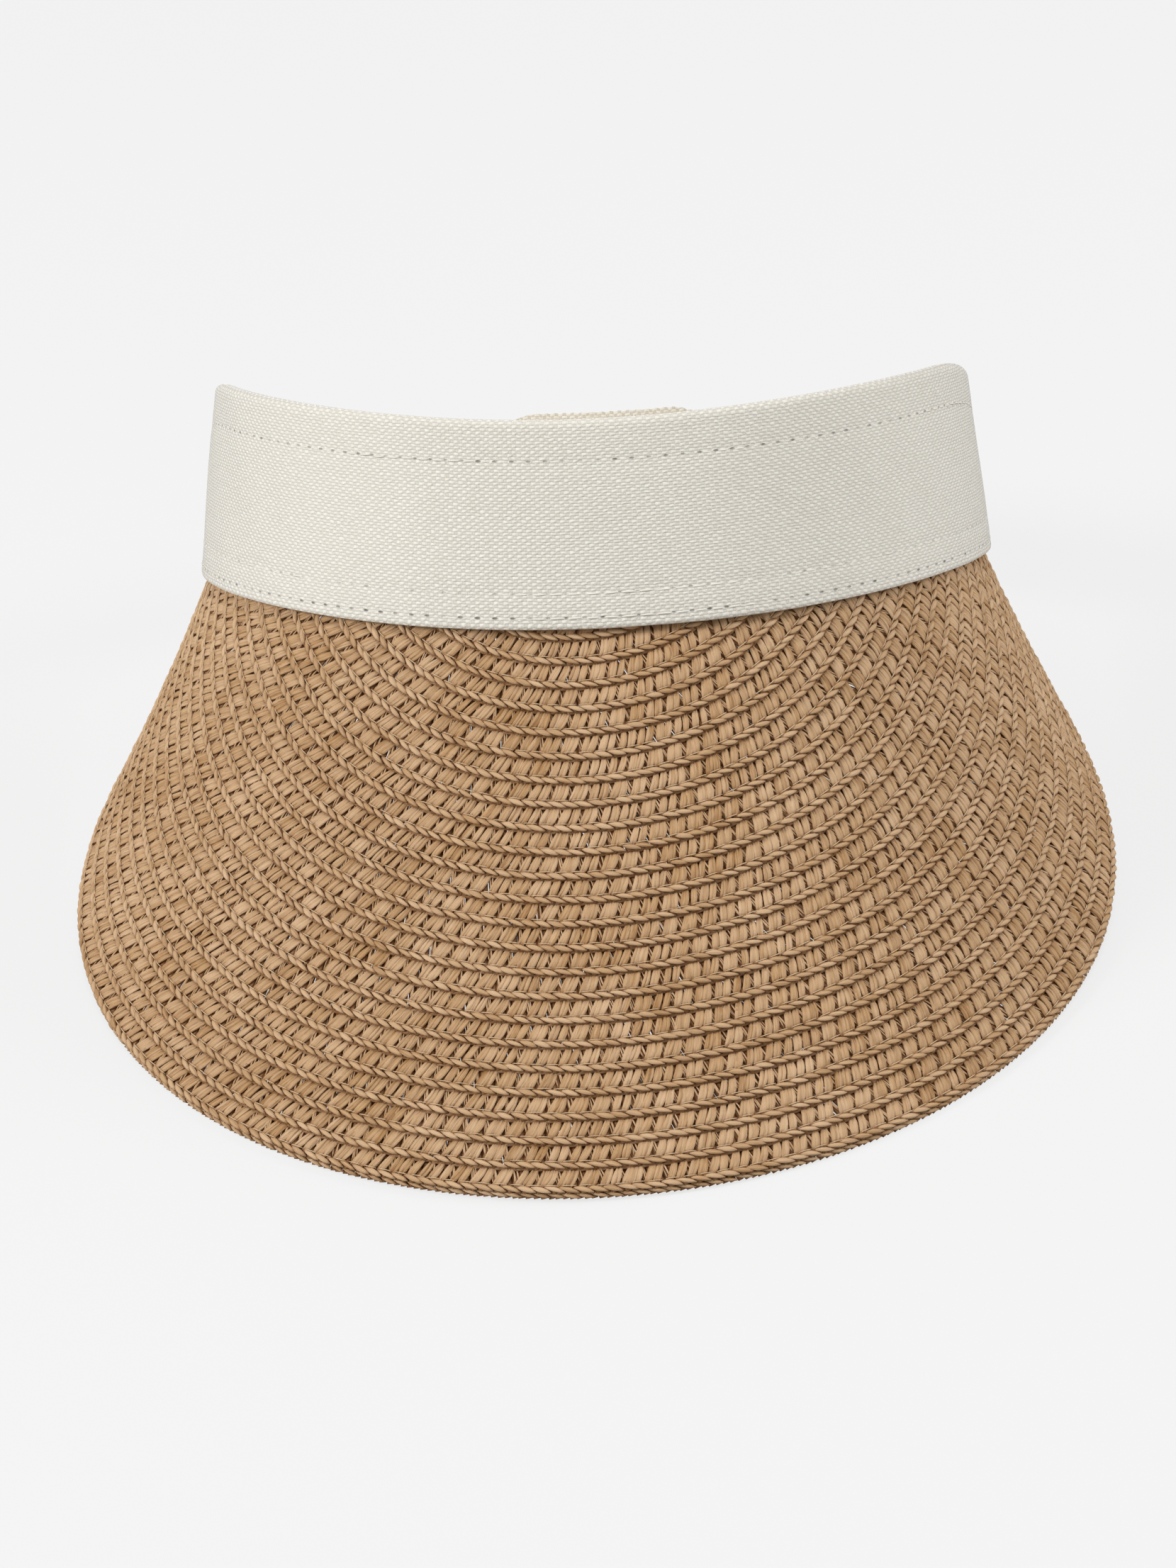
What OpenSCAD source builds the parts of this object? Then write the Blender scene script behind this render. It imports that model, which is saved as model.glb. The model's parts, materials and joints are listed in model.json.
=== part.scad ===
// Sun visor: a straw-braid brim sewn to a canvas head band that closes at the back.
//
// Everything is laid out in the ring frame: X to the wearer's left-hand side as seen from
// the front, Y towards the back, Z up along the head. Angle t runs around the ring, 0 at the
// front centre, 90 at the +X side, 180 at the back. The finished visor is then leaned back so
// that it stands on the brim's front rim and the tails, with Z = 0 at that surface.

/* [Head ring] */
// Half of the ring's width along the band's lower edge
ring_half_w = 88; // [80:0.5:96]
// Half of the ring's depth, front to back
ring_half_d = 93; // [85:0.5:102]
// How much higher the band's lower edge lies at the sides than at the front
side_rise = 6.8; // [0:0.1:12]
// How much lower the tails' lower edge lies at the back than at the front
back_drop = 4; // [0:0.1:8]

/* [Head band] */
// Height of the band at the front
band_h = 43.6; // [36:0.1:52]
// Height of the tails at the back
tail_h = 28; // [22:0.5:34]
// Angle around the ring where the band starts to narrow
narrow_start = 68; // [55:1:85]
// Angle around the ring where the band has its tail height
narrow_end = 140; // [125:1:155]
// Angle by which the band leans in towards its top
band_lean = 6.7; // [0:0.1:12]
// Thickness of the canvas
canvas_t = 0.8; // [0.5:0.05:1.2]
// Height of the canvas turned in at the lower edge
hem_h = 8; // [6:0.5:11]
// Height of the canvas turned in at the top edge
top_hem_h = 10; // [7:0.5:14]
// Thickness of the stiffener inside the band
stiffener_t = 1.1; // [0.6:0.05:1.6]
// Thickness of the sweatband
sweatband_t = 1; // [0.6:0.05:1.6]
// How far the sweatband shows above the canvas at the front centre
sweatband_peek = 1; // [0:0.1:2]

/* [Brim] */
// Angle of the brim below the ring at the front
slope_front = 69.8; // [55:0.1:78]
// Angle of the brim below the ring at the sides
slope_side = 67; // [55:0.1:78]
// How many degrees flatter the brim gets over 100 mm at the front
flare_front = 7.8; // [2:0.1:15]
// How many degrees flatter the brim gets over 100 mm at the sides
flare_side = 13.3; // [4:0.1:20]
// Length of the brim at the front, from the band to the rim
brim_len = 120.3; // [90:0.1:135]
// How many degrees steeper the brim is half way to the sides
slope_wave = 1.1; // [0:0.1:3]
// Height of the braid circles' centre above the band's lower edge, in the flat brim
braid_center = 45; // [35:0.5:60]
// Width of brim that is sewn in under the band
seam_allow = 8; // [6:0.5:10]

/* [Braid] */
// Distance from one braid row to the next
braid_pitch = 5.1; // [4.6:0.05:6.2]
// Width by which each row lies over the next one
braid_lap = 1.2; // [0.6:0.1:1.8]
// Thickness of the braid
braid_t = 0.85; // [0.5:0.05:1.2]
// How far the facing braid shows beyond the outermost row
facing_show = 0.8; // [0.3:0.1:1.5]

/* [Back closure] */
// Angle around the ring where each tail starts to flex
flex_at = 122; // [120.5:0.5:128]
// Angle around the ring where the closure tab peels
peel_at = 170; // [166:0.5:172]
// Angle around the ring where the closure tab ends
tab_end = 207; // [200:0.5:212]
// Angle around the ring where the inner tail ends, counted from the front on its own side
inner_end = 186; // [184:0.5:189]
// Thickness of the loop patch
loop_t = 0.8; // [0.5:0.05:1.2]
// Thickness of the hook patch
hook_t = 0.7; // [0.5:0.05:1.2]
// Height of the loop and hook patches
patch_h = 20; // [14:0.5:21]
// Thickness of the lining in the tails
lining_t = 0.6; // [0.4:0.05:1]

/* [Sewing] */
// Width of a line of thread
thread_w = 0.45; // [0.3:0.05:0.8]
// Distance of the top stitching below the band's top edge
top_stitch = 8.8; // [6:0.1:9]
// Distance of the hem stitching above the band's lower edge
hem_stitch = 7.4; // [5:0.1:7.6]
// Distance of the edge stitching above the band's lower edge
edge_stitch = 2.4; // [1.5:0.1:4]
// Distance of a braid row's seam from its outer edge
row_stitch = 1.5; // [1.3:0.1:3]

/* [Hidden] */
seam_gap = 0.1;       // room between flat pieces sewn to each other
braid_gap = 0.25;     // room between a braid row and what is sewn to it
flex_gap = 0.4;       // room between the pieces on the two sides of a flex line
closure_gap = 0.3;    // room between the hook and the loop patch
t_step = 5;           // angle between the stations that every curved piece shares
flat_step = 1;        // angle between the entries that describe the flat brim
flat_end = 150;       // angle to which the flat brim is described
thread_h = 0.25;      // how far a thread stands proud of what it sews
thread_clear = 1.2;   // how far the rows' threads stop short of the band
row_end_w = 1.2;      // width of a braid row where the cut brim ends it
bend_w = 1.5;         // half of the width over which the brim bends into the band
facing_in = 0.6;      // how far the facing braid is narrower than a row
stiffener_room = 0.5; // room around the stiffener inside the canvas
tail_stiffener_t = 0.7 * stiffener_t;
patch_inset = 2;      // distance of a patch from the end of its tail
patch_start = 6;      // angle from the tab's peel line to the hook patch
edge_sewing = 2.2;    // distance of the tails' sewing from their edges
patch_sewing = 1.2;   // distance of a patch's sewing from its edges
bump_half = 12;       // angle to each side over which the sweatband's bump fades out
bump_fade = 7;

// The braid rows start under the band and end at the rim.
rim_r = braid_center + brim_len;
row_w = braid_pitch + braid_lap;
row_count = ceil((brim_len + seam_allow - facing_show - braid_lap) / braid_pitch);
row_names = [for (k = [1:row_count]) str("braid_row_", k < 10 ? "0" : "", k)];
// How much deeper a row's inner edge lies than its outer edge, to pass under its neighbour
row_drop = (braid_t + braid_gap) / (1 - braid_lap / row_w);

// Heights of the layers off the band's lower edge line, positive outwards
canvas_in = seam_gap;
canvas_out = canvas_in + canvas_t;
hem_in = canvas_in - canvas_t;
braid_top = hem_in - braid_gap;
sweat_low_out = braid_top - row_drop - braid_t - braid_gap;
top_hem_out = -stiffener_t - seam_gap;
top_hem_in = top_hem_out - canvas_t;
sweat_top_out = top_hem_in - seam_gap;
lining_out = -tail_stiffener_t - seam_gap;
lining_in = lining_out - lining_t;

// The outer tail's tab lies over the inner tail, with the two patches between them.
tab_shift = canvas_out + 2 * seam_gap + loop_t + closure_gap + hook_t + lining_t;
shift_start = flex_at + 6;
shift_end = peel_at - 3;
stiffener_end = 146;

function smooth(u) = let (c = max(0, min(1, u))) c * c * (3 - 2 * c);

// The value between lo and hi at which f turns from negative to positive
function solve(f, lo, hi, tries = 30) = let (m = (lo + hi) / 2)
    tries == 0 ? m : f(m) < 0 ? solve(f, m, hi, tries - 1) : solve(f, lo, m, tries - 1);

// ---- the ring ----
function edge_z(t) = side_rise * pow(sin(t), 2) - (cos(t) < 0 ? back_drop * pow(cos(t), 2) : 0);
function edge(t) = [ring_half_w * sin(t), -ring_half_d * cos(t), edge_z(t)];
function outward(t) = let (v = [ring_half_d * sin(t), -ring_half_w * cos(t), 0]) v / norm(v);
function speed(t) = norm([ring_half_w * cos(t), ring_half_d * sin(t)]) * PI / 180; // mm a degree
function from_front(t) = abs(t) > 180 ? 360 - abs(t) : abs(t);
function band_height(t) = band_h + (tail_h - band_h)
    * smooth((from_front(t) - narrow_start) / (narrow_end - narrow_start));
function patch_low(t) = (band_height(t) - patch_h) / 2;

// A point of the band, n outwards from the edge line's surface and z above the lower edge
function band_pt(t, n, z) = edge(t) + outward(t) * (n - z * tan(band_lean)) + [0, 0, z];

// How far the outer tail lies outside the ring, to pass over the inner one
function shift(t) = t > 0 ? tab_shift * smooth((t - shift_start) / (shift_end - shift_start)) : 0;
// How far its lining comes up to the canvas past the stiffener
function rise(t) = t > 0 ? -lining_out * smooth((t - stiffener_end) / (shift_end - stiffener_end)) : 0;

// ---- the brim ----
function slope(t) = slope_front + (slope_side - slope_front) * pow(sin(t), 2)
    + slope_wave * pow(sin(2 * t), 2);
function flare(t) = (flare_front + (flare_side - flare_front) * pow(sin(t), 2)) / 100;
// The brim's angle at s, which turns into the band's just above the band's lower edge
function brim_angle(t, s) = let (u = smooth((s + bend_w) / (2 * bend_w)))
    u * (slope(t) - flare(t) * max(s, 0)) + (1 - u) * (90 - band_lean);

// A point of the brim, s down from the band's lower edge and n off the surface
function brim_pt(t, s, n) =
    let (q = brim_angle(t, s), th = slope(t), k = flare(t) * PI / 180, e = th - flare(t) * s,
         out = s > 0 ? (sin(th) - sin(e)) / k : s * sin(band_lean),
         down = s > 0 ? (cos(e) - cos(th)) / k : s * cos(band_lean))
    edge(t) + outward(t) * (out + n * sin(q)) + [0, 0, n * cos(q) - down];

// The brim laid flat: the crown edge's direction and place, in steps around the ring.
// Bending the slope out of the ring leaves only its cosine's share of each turn.
function flat_turn(t) = ring_half_w * ring_half_d * cos(slope(t))
    / (pow(ring_half_w * cos(t), 2) + pow(ring_half_d * sin(t), 2));
flat = [for (i = 0, turn = 0, a = 0, x = 0, y = 0;
             i * flat_step <= flat_end;
             i = i + 1,
             turn = flat_turn((i - 0.5) * flat_step) * flat_step,
             x = x + speed((i - 0.5) * flat_step) * flat_step * cos(a + turn / 2),
             y = y + speed((i - 0.5) * flat_step) * flat_step * sin(a + turn / 2),
             a = a + turn) [a, x, y]];
function flat_at(t) =
    let (u = min(abs(t), flat_end) / flat_step, i = min(floor(u), len(flat) - 2))
    flat[i] + (flat[i + 1] - flat[i]) * (u - i);

// From the braid circles' centre to the crown edge, and the brim's direction there
function crown(t) = let (f = flat_at(t)) [f[1], f[2] - braid_center];
function ruling(t) = let (f = flat_at(t)) [sin(f[0]), -cos(f[0])];
// The braid radius at s down the brim, and the place where the brim reaches a radius
function radius(t, s) = norm(crown(t) + ruling(t) * s);
function reach(t, r) = let (c = crown(t), b = c * ruling(t), d = b * b - c * c + r * r)
    d < 0 ? -2 * seam_allow : -b + sqrt(d);

// ---- the braid rows ----
function row_r(k) = rim_r - facing_show - (row_count - k) * braid_pitch;
function row_top(t, s, k) = braid_top - row_drop * (row_r(k) - radius(t, s)) / row_w;
// The angle at which the brim reaches radius r only s below the band's edge
function stop_at(r, s) = solve(function (t) s - reach(t, r), 0, flat_end - 1);

function row_section(t, k) =
    let (a = max(reach(t, row_r(k) - row_w), -seam_allow), b = reach(t, row_r(k)), w = b - a,
         m = max(a + w / 8, min(b - w / 8, 0)))
    concat([for (s = [a, m, b]) [s, row_top(t, s, k)]],
           [for (s = [b, m, a]) [s, row_top(t, s, k) - braid_t]]);

// The angles where a row's edges pass the band's edge or the cut, and where the row ends
function row_breaks(k) = let (r0 = row_r(k) - row_w, r1 = row_r(k),
        a = stop_at(r0, 0), b = stop_at(r0, -seam_allow), c = stop_at(r1, 0))
    [for (t = [0, a, min(b, c), max(b, c), stop_at(r1, row_end_w - seam_allow)])
        if (t == 0 || t > 1) t];

function facing_section(t) =
    let (a = reach(t, row_r(row_count) - row_w + facing_in), b = reach(t, rim_r),
         n = -braid_t - braid_gap)
    concat([for (s = [a, b]) [s, row_top(t, s, row_count) + n]],
           [for (s = [b, a]) [s, row_top(t, s, row_count) + n - braid_t]]);

function row_thread_section(t, k) =
    let (r = row_r(k) - row_stitch, a = reach(t, r - thread_w / 2), b = reach(t, r + thread_w / 2),
         n = row_top(t, (a + b) / 2, k) + braid_gap)
    [[a, n], [(a + b) / 2, n + thread_h], [b, n]];

// ---- how the visor stands ----
rim_end = stop_at(rim_r - row_w, thread_clear);
rim_pts = [for (t = stations(0, rim_end), p = facing_section(t)) brim_pt(t, p[0], p[1])];
tab_pts = [for (t = stations(peel_at, tab_end), z = [0, band_height(t)])
    band_pt(t, tab_shift + canvas_out, z)];
function leaned(p, a) = [p[0], p[1] * cos(a) + p[2] * sin(a), p[2] * cos(a) - p[1] * sin(a)];
function lowest(pts, a) = min([for (p = pts) leaned(p, a)[2]]);
// The ring leans back until the brim's rim and the tails touch the same surface.
lean_back = solve(function (a) lowest(rim_pts, a) - lowest(tab_pts, a), 0, 45);
all_y = [for (p = concat(rim_pts, tab_pts)) leaned(p, lean_back)[1]];

module place() {
    translate([0, -(min(all_y) + max(all_y)) / 2, -lowest(rim_pts, lean_back)])
        rotate([-lean_back, 0, 0]) children();
}

// ---- solids that run around the ring ----
// The stations between two angles: both ends, and every shared angle well inside them
function stations(t0, t1) = concat(t0,
    [for (i = [ceil((t0 + 1) / t_step):floor((t1 - 1) / t_step)]) i * t_step], t1);

// Joins rings of points into one closed solid
module loft(rings) {
    m = len(rings[0]);
    last = len(rings) - 1;
    sides = [for (i = [0:last - 1], j = [0:m - 1]) let (a = i * m + j, b = i * m + (j + 1) % m)
        each [[a, a + m, b + m], [a, b + m, b]]];
    start = [for (j = [0:m - 1]) j];
    end = [for (j = [m - 1:-1:0]) last * m + j];
    place() polyhedron([for (r = rings) each r], concat(sides, [start, end]), convexity = 10);
}

// The same on both sides of the front, with each break kept as a station
function both_sides(breaks) =
    let (half = [for (i = [1:len(breaks) - 1], t = stations(breaks[i - 1], breaks[i]))
             if (t > breaks[i - 1]) t])
    concat([for (i = [len(half) - 1:-1:0]) -half[i]], 0, half);

// A piece of the brim; section(t) lists its corners as [down the brim, off the surface]
module brim_piece(breaks, section) {
    loft([for (t = both_sides(breaks)) [for (p = section(t)) brim_pt(t, p[0], p[1])]]);
}

// A piece of the band; section(t) lists its corners as [outwards, up]
module band_piece(t0, t1, section) {
    loft([for (t = stations(t0, t1)) [for (p = section(t)) band_pt(t, p[0], p[1])]]);
}

// The four corners of a flat layer between two depths and two heights
function layer(n0, n1, z0, z1) = [[n1, z0], [n1, z1], [n0, z1], [n0, z0]];

// A line of thread around the band, on the outer or the inner side of a face at n(t)
module band_thread(t0, t1, n, z, side = 1) {
    band_piece(t0, t1, function (t) let (w = side * thread_w / 2, face = n(t) + side * seam_gap)
        [[face, z(t) - w], [face, z(t) + w], [face + side * thread_h, z(t)]]);
}

// Two lines of thread, each in from one long edge of a strip from low(t) to high(t)
module edge_threads(t0, t1, n, low, high, inset, side = 1) {
    band_thread(t0, t1, n, function (t) low(t) + inset, side);
    band_thread(t0, t1, n, function (t) high(t) - inset, side);
}
module tail_threads(t0, t1) {
    color("linen") edge_threads(t0, t1, function (t) shift(t) + canvas_out,
        function (t) 0, function (t) band_height(t), edge_sewing);
}

// ---- brim ----
module braid_row(k) {
    color(k % 2 == 0 ? "tan" : "burlywood")
        brim_piece(row_breaks(k), function (t) row_section(t, k));
}

module edge_facing_braid() {
    color("peru") brim_piece([0, rim_end], function (t) facing_section(t));
}

module brim_seam_threads() {
    color("wheat") for (k = [1:row_count]) {
        r = row_r(k) - row_stitch;
        if (r - braid_center > thread_clear + thread_w)
            brim_piece([0, stop_at(r, thread_clear + thread_w)],
                function (t) row_thread_section(t, k));
    }
}

// ---- front of the band ----
flex_end = flex_at - flex_gap / 2 / speed(flex_at);
tail_start = flex_at + flex_gap / 2 / speed(flex_at);

// The canvas is turned in at both edges, around the stiffener at the top.
module front_canvas() {
    color("ivory") band_piece(-flex_end, flex_end, function (t) let (h = band_height(t)) [
        [canvas_out, 0], [canvas_out, h], [top_hem_in, h], [top_hem_in, h - top_hem_h],
        [top_hem_out, h - top_hem_h], [top_hem_out, h - canvas_t], [canvas_in, h - canvas_t],
        [canvas_in, hem_h], [hem_in, hem_h], [hem_in, 0]]);
}

module band_stiffener() {
    color("gainsboro") band_piece(-flex_end, flex_end, function (t)
        layer(-stiffener_t, 0, hem_h + stiffener_room, band_height(t) - canvas_t - stiffener_room));
}

// The sweatband lies behind the braid's cut edges below and the canvas hem above.
module sweatband() {
    color("blanchedalmond") band_piece(-flex_end, flex_end, function (t)
        let (bump = smooth((bump_half - abs(t)) / bump_fade),
             top = band_height(t) - 1 + (1 + sweatband_peek) * bump,
             z1 = hem_h + 1, z2 = hem_h + 6)
        [[sweat_low_out, 1], [sweat_low_out, z1], [sweat_top_out, z2], [sweat_top_out, top],
         [sweat_top_out - sweatband_t, top], [sweat_top_out - sweatband_t, z2],
         [sweat_low_out - sweatband_t, z1], [sweat_low_out - sweatband_t, 1]]);
}

module front_thread(z) {
    color("linen") band_thread(-flex_end, flex_end, function (t) canvas_out, z);
}
module top_stitching() { front_thread(function (t) band_height(t) - top_stitch); }
module hem_stitching() { front_thread(function (t) hem_stitch); }
module edge_stitching() { front_thread(function (t) edge_stitch); }

// ---- inner tail, on the -X side ----
module inner_tail_piece(n0, n1, inset = 0, end = 0) {
    band_piece(end - inner_end, -tail_start, function (t)
        layer(n0, n1, inset, band_height(t) - inset));
}
module inner_tail_canvas() { color("ivory") inner_tail_piece(canvas_in, canvas_out); }
module inner_tail_stiffener() {
    color("gainsboro") inner_tail_piece(-tail_stiffener_t, 0, stiffener_room, 1);
}
module inner_tail_lining() { color("cornsilk") inner_tail_piece(lining_in, lining_out); }
module inner_tail_stitching() { tail_threads(1 - inner_end, -tail_start - 1); }
loop_from = patch_inset / speed(180) - inner_end;
loop_to = patch_inset / speed(180) + tab_end - 360 + 2 * patch_inset;
loop_n = canvas_out + seam_gap;
module loop_patch() {
    color("oldlace") band_piece(loop_from, loop_to, function (t)
        layer(loop_n, loop_n + loop_t, patch_low(t), patch_low(t) + patch_h));
}
// The patches' sewing shows on the far side of their tails.
module loop_patch_stitching() {
    color("linen") edge_threads(loop_from, loop_to, function (t) lining_in,
        function (t) patch_low(t), function (t) patch_low(t) + patch_h, patch_sewing, -1);
}

// ---- outer tail and closure tab, on the +X side ----
module outer_piece(t0, t1, n0, n1, inset = 0, lift = false) {
    band_piece(t0, t1, function (t) let (n = shift(t) + (lift ? rise(t) : 0))
        layer(n0 + n, n1 + n, inset, band_height(t) - inset));
}
peel_gap = flex_gap / 2 / speed(peel_at);
module outer_tail_canvas() {
    color("ivory") outer_piece(tail_start, peel_at - peel_gap, canvas_in, canvas_out);
}
module outer_tail_stiffener() {
    color("gainsboro") outer_piece(tail_start, stiffener_end, -tail_stiffener_t, 0, stiffener_room);
}
module outer_tail_lining() {
    color("cornsilk") outer_piece(tail_start, peel_at - peel_gap, lining_in, lining_out, lift = true);
}
module outer_tail_stitching() { tail_threads(tail_start + 1, peel_at - 1); }
module closure_tab_canvas() {
    color("ivory") outer_piece(peel_at + peel_gap, tab_end, canvas_in, canvas_out);
}
module closure_tab_lining() {
    color("cornsilk") outer_piece(peel_at + peel_gap, tab_end, -lining_t, 0);
}
module closure_tab_stitching() { tail_threads(peel_at + 1, tab_end - 1); }
hook_from = peel_at + patch_start;
hook_to = tab_end - patch_inset / speed(180);
hook_n = tab_shift - lining_t - seam_gap;
module hook_patch() {
    color("whitesmoke") band_piece(hook_from, hook_to, function (t)
        layer(hook_n - hook_t, hook_n, patch_low(t), patch_low(t) + patch_h));
}
module hook_patch_stitching() {
    color("linen") edge_threads(hook_from, hook_to, function (t) tab_shift + canvas_out,
        function (t) patch_low(t), function (t) patch_low(t) + patch_h, patch_sewing);
}

for (k = [1:row_count])
    braid_row(k);
edge_facing_braid();
brim_seam_threads();
front_canvas();
band_stiffener();
sweatband();
top_stitching();
hem_stitching();
edge_stitching();
inner_tail_canvas();
inner_tail_stiffener();
inner_tail_lining();
inner_tail_stitching();
loop_patch();
loop_patch_stitching();
outer_tail_canvas();
outer_tail_stiffener();
outer_tail_lining();
outer_tail_stitching();
closure_tab_canvas();
closure_tab_lining();
closure_tab_stitching();
hook_patch();
hook_patch_stitching();
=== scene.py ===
import json
import math

import bpy
import numpy as np
from mathutils import Matrix, Vector


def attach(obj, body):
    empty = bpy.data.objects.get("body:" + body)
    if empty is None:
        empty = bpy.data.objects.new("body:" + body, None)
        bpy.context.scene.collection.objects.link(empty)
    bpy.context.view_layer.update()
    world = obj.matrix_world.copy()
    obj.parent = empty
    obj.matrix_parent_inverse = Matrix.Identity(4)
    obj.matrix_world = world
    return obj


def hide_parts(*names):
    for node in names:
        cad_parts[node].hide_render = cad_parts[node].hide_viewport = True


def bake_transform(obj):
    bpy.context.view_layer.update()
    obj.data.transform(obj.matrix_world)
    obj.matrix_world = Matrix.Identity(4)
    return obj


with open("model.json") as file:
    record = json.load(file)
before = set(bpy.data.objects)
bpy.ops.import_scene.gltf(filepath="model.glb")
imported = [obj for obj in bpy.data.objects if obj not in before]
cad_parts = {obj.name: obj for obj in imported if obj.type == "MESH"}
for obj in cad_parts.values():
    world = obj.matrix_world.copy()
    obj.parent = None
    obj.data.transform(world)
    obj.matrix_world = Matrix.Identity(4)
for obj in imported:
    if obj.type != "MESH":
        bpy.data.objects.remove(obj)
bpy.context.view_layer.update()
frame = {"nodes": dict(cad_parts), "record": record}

print("frame loaded")

# the shape that every piece lies on
# Sizes are in millimetres and angles in degrees; t runs round the ring, 0 at the front centre,
# 90 at the +X side, 180 at the back.
ring = {"halfWidth": 88.0, "halfDepth": 93.0, "sideRise": 6.8, "backDrop": 4.0}
band = {
    "height": 43.6, "tailHeight": 28.0, "narrowStart": 68.0, "narrowEnd": 140.0, "lean": 6.7,
    "clothInner": 0.1, "cloth": 0.8,
}
brim = {
    "slopeFront": 69.8, "slopeSide": 67.0, "slopeWave": 1.1, "flareFront": 7.8, "flareSide": 13.3,
    "length": 120.3, "circleCentre": 45.0, "seamAllowance": 8.0, "bendHalf": 1.5,
}
braid = {
    "rows": 25, "pitch": 5.1, "width": 6.3, "thick": 0.85, "top": -0.95, "drop": 1.359,
    "facingShow": 0.8, "facingIn": 0.6, "gap": 0.25,
}
closure = {
    "flexAt": 122.0, "peelAt": 170.0, "tabEnd": 207.0, "innerEnd": 186.0,
    "tabShift": 3.5, "shiftStart": 128.0, "shiftEnd": 167.0, "stiffenerEnd": 146.0,
    "patchHeight": 20.0, "patchInset": 2.0, "hookFrom": 176.0, "bendSpan": 7.0,
}
rimRadius = brim["circleCentre"] + brim["length"]

# The head opening's mount says where the ring stands and how far it leans back.
headOpening = [m for m in frame["record"]["mounts"] if m["name"] == "head_opening"][0]
ringCentre = np.array(headOpening["pos_m"]) * 1000
leanBack = math.atan2(headOpening["axis"][1], headOpening["axis"][2])


def smooth(u):
    c = np.clip(u, 0, 1)
    return c * c * (3 - 2 * c)


def edgeLine(t):
    a = np.radians(t)
    back = np.where(np.cos(a) < 0, ring["backDrop"] * np.cos(a) ** 2, 0)
    z = ring["sideRise"] * np.sin(a) ** 2 - back
    return np.stack([ring["halfWidth"] * np.sin(a), -ring["halfDepth"] * np.cos(a), z], -1)


def outward(t):
    a = np.radians(t)
    v = np.stack([ring["halfDepth"] * np.sin(a), -ring["halfWidth"] * np.cos(a), 0 * a], -1)
    return v / np.linalg.norm(v, axis=-1, keepdims=True)


def speed(t):
    a = np.radians(t)
    return np.hypot(ring["halfWidth"] * np.cos(a), ring["halfDepth"] * np.sin(a)) * math.pi / 180


alongAngles = np.arange(-230, 230.5, 0.5)
alongLengths = np.concatenate([[0], np.cumsum(speed(alongAngles[:-1] + 0.25) * 0.5)])


def along(t):  # millimetres round the ring from its hidden start
    return np.interp(t, alongAngles, alongLengths)


def angleAt(length):
    return np.interp(length, alongLengths, alongAngles)


def bandHeight(t):
    fromFront = np.where(np.abs(t) > 180, 360 - np.abs(t), np.abs(t))
    u = (fromFront - band["narrowStart"]) / (band["narrowEnd"] - band["narrowStart"])
    return band["height"] + (band["tailHeight"] - band["height"]) * smooth(u)


def placed(p):  # from the ring's own millimetres to the frame's metres
    c, s = math.cos(leanBack), math.sin(leanBack)
    p = np.stack([p[..., 0], p[..., 1] * c + p[..., 2] * s, p[..., 2] * c - p[..., 1] * s], -1)
    return (p + ringCentre) / 1000


def bandPoint(t, n, z):
    lean = np.asarray(n - z * math.tan(math.radians(band["lean"])))[..., None]
    up = np.stack([0 * z, 0 * z, z], -1)
    return placed(edgeLine(t) + outward(t) * lean + up)


def tailShift(t):
    span = closure["shiftEnd"] - closure["shiftStart"]
    return np.where(t > 0, closure["tabShift"] * smooth((t - closure["shiftStart"]) / span), 0)


def slopeAt(t):
    a = np.radians(t)
    return (brim["slopeFront"] + (brim["slopeSide"] - brim["slopeFront"]) * np.sin(a) ** 2
            + brim["slopeWave"] * np.sin(2 * a) ** 2)


def flareAt(t):
    a = np.radians(t)
    return (brim["flareFront"] + (brim["flareSide"] - brim["flareFront"]) * np.sin(a) ** 2) / 100


def brimPoint(t, s, n):  # s down from the band's lower edge, n off the surface
    slope, flare = slopeAt(t), flareAt(t)
    bend = smooth((s + brim["bendHalf"]) / (2 * brim["bendHalf"]))
    angle = bend * (slope - flare * np.maximum(s, 0)) + (1 - bend) * (90 - band["lean"])
    q, first, last = np.radians(angle), np.radians(slope), np.radians(slope - flare * s)
    k, lean = np.radians(flare), math.radians(band["lean"])
    out = np.where(s > 0, (np.sin(first) - np.sin(last)) / k, s * math.sin(lean))
    down = np.where(s > 0, (np.cos(last) - np.cos(first)) / k, s * math.cos(lean))
    up = np.stack([0 * s, 0 * s, n * np.cos(q) - down], -1)
    return placed(edgeLine(t) + outward(t) * (out + n * np.sin(q))[..., None] + up)


# The brim laid flat: direction and place of the crown edge at each whole degree
flatAngles = np.arange(0, 151.0)
flatMiddles = flatAngles[1:] - 0.5
flatTurns = (ring["halfWidth"] * ring["halfDepth"] * np.cos(np.radians(slopeAt(flatMiddles)))
             / ((ring["halfWidth"] * np.cos(np.radians(flatMiddles))) ** 2
                + (ring["halfDepth"] * np.sin(np.radians(flatMiddles))) ** 2))
flatHeadings = np.concatenate([[0], np.cumsum(flatTurns)])
flatDirections = np.radians(flatHeadings[:-1] + flatTurns / 2)
flatX = np.concatenate([[0], np.cumsum(speed(flatMiddles) * np.cos(flatDirections))])
flatY = np.concatenate([[0], np.cumsum(speed(flatMiddles) * np.sin(flatDirections))])


def flatAt(t):
    heading = np.radians(np.interp(t, flatAngles, flatHeadings))
    x = np.interp(t, flatAngles, flatX)
    y = np.interp(t, flatAngles, flatY) - brim["circleCentre"]
    return heading, x, y


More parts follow.
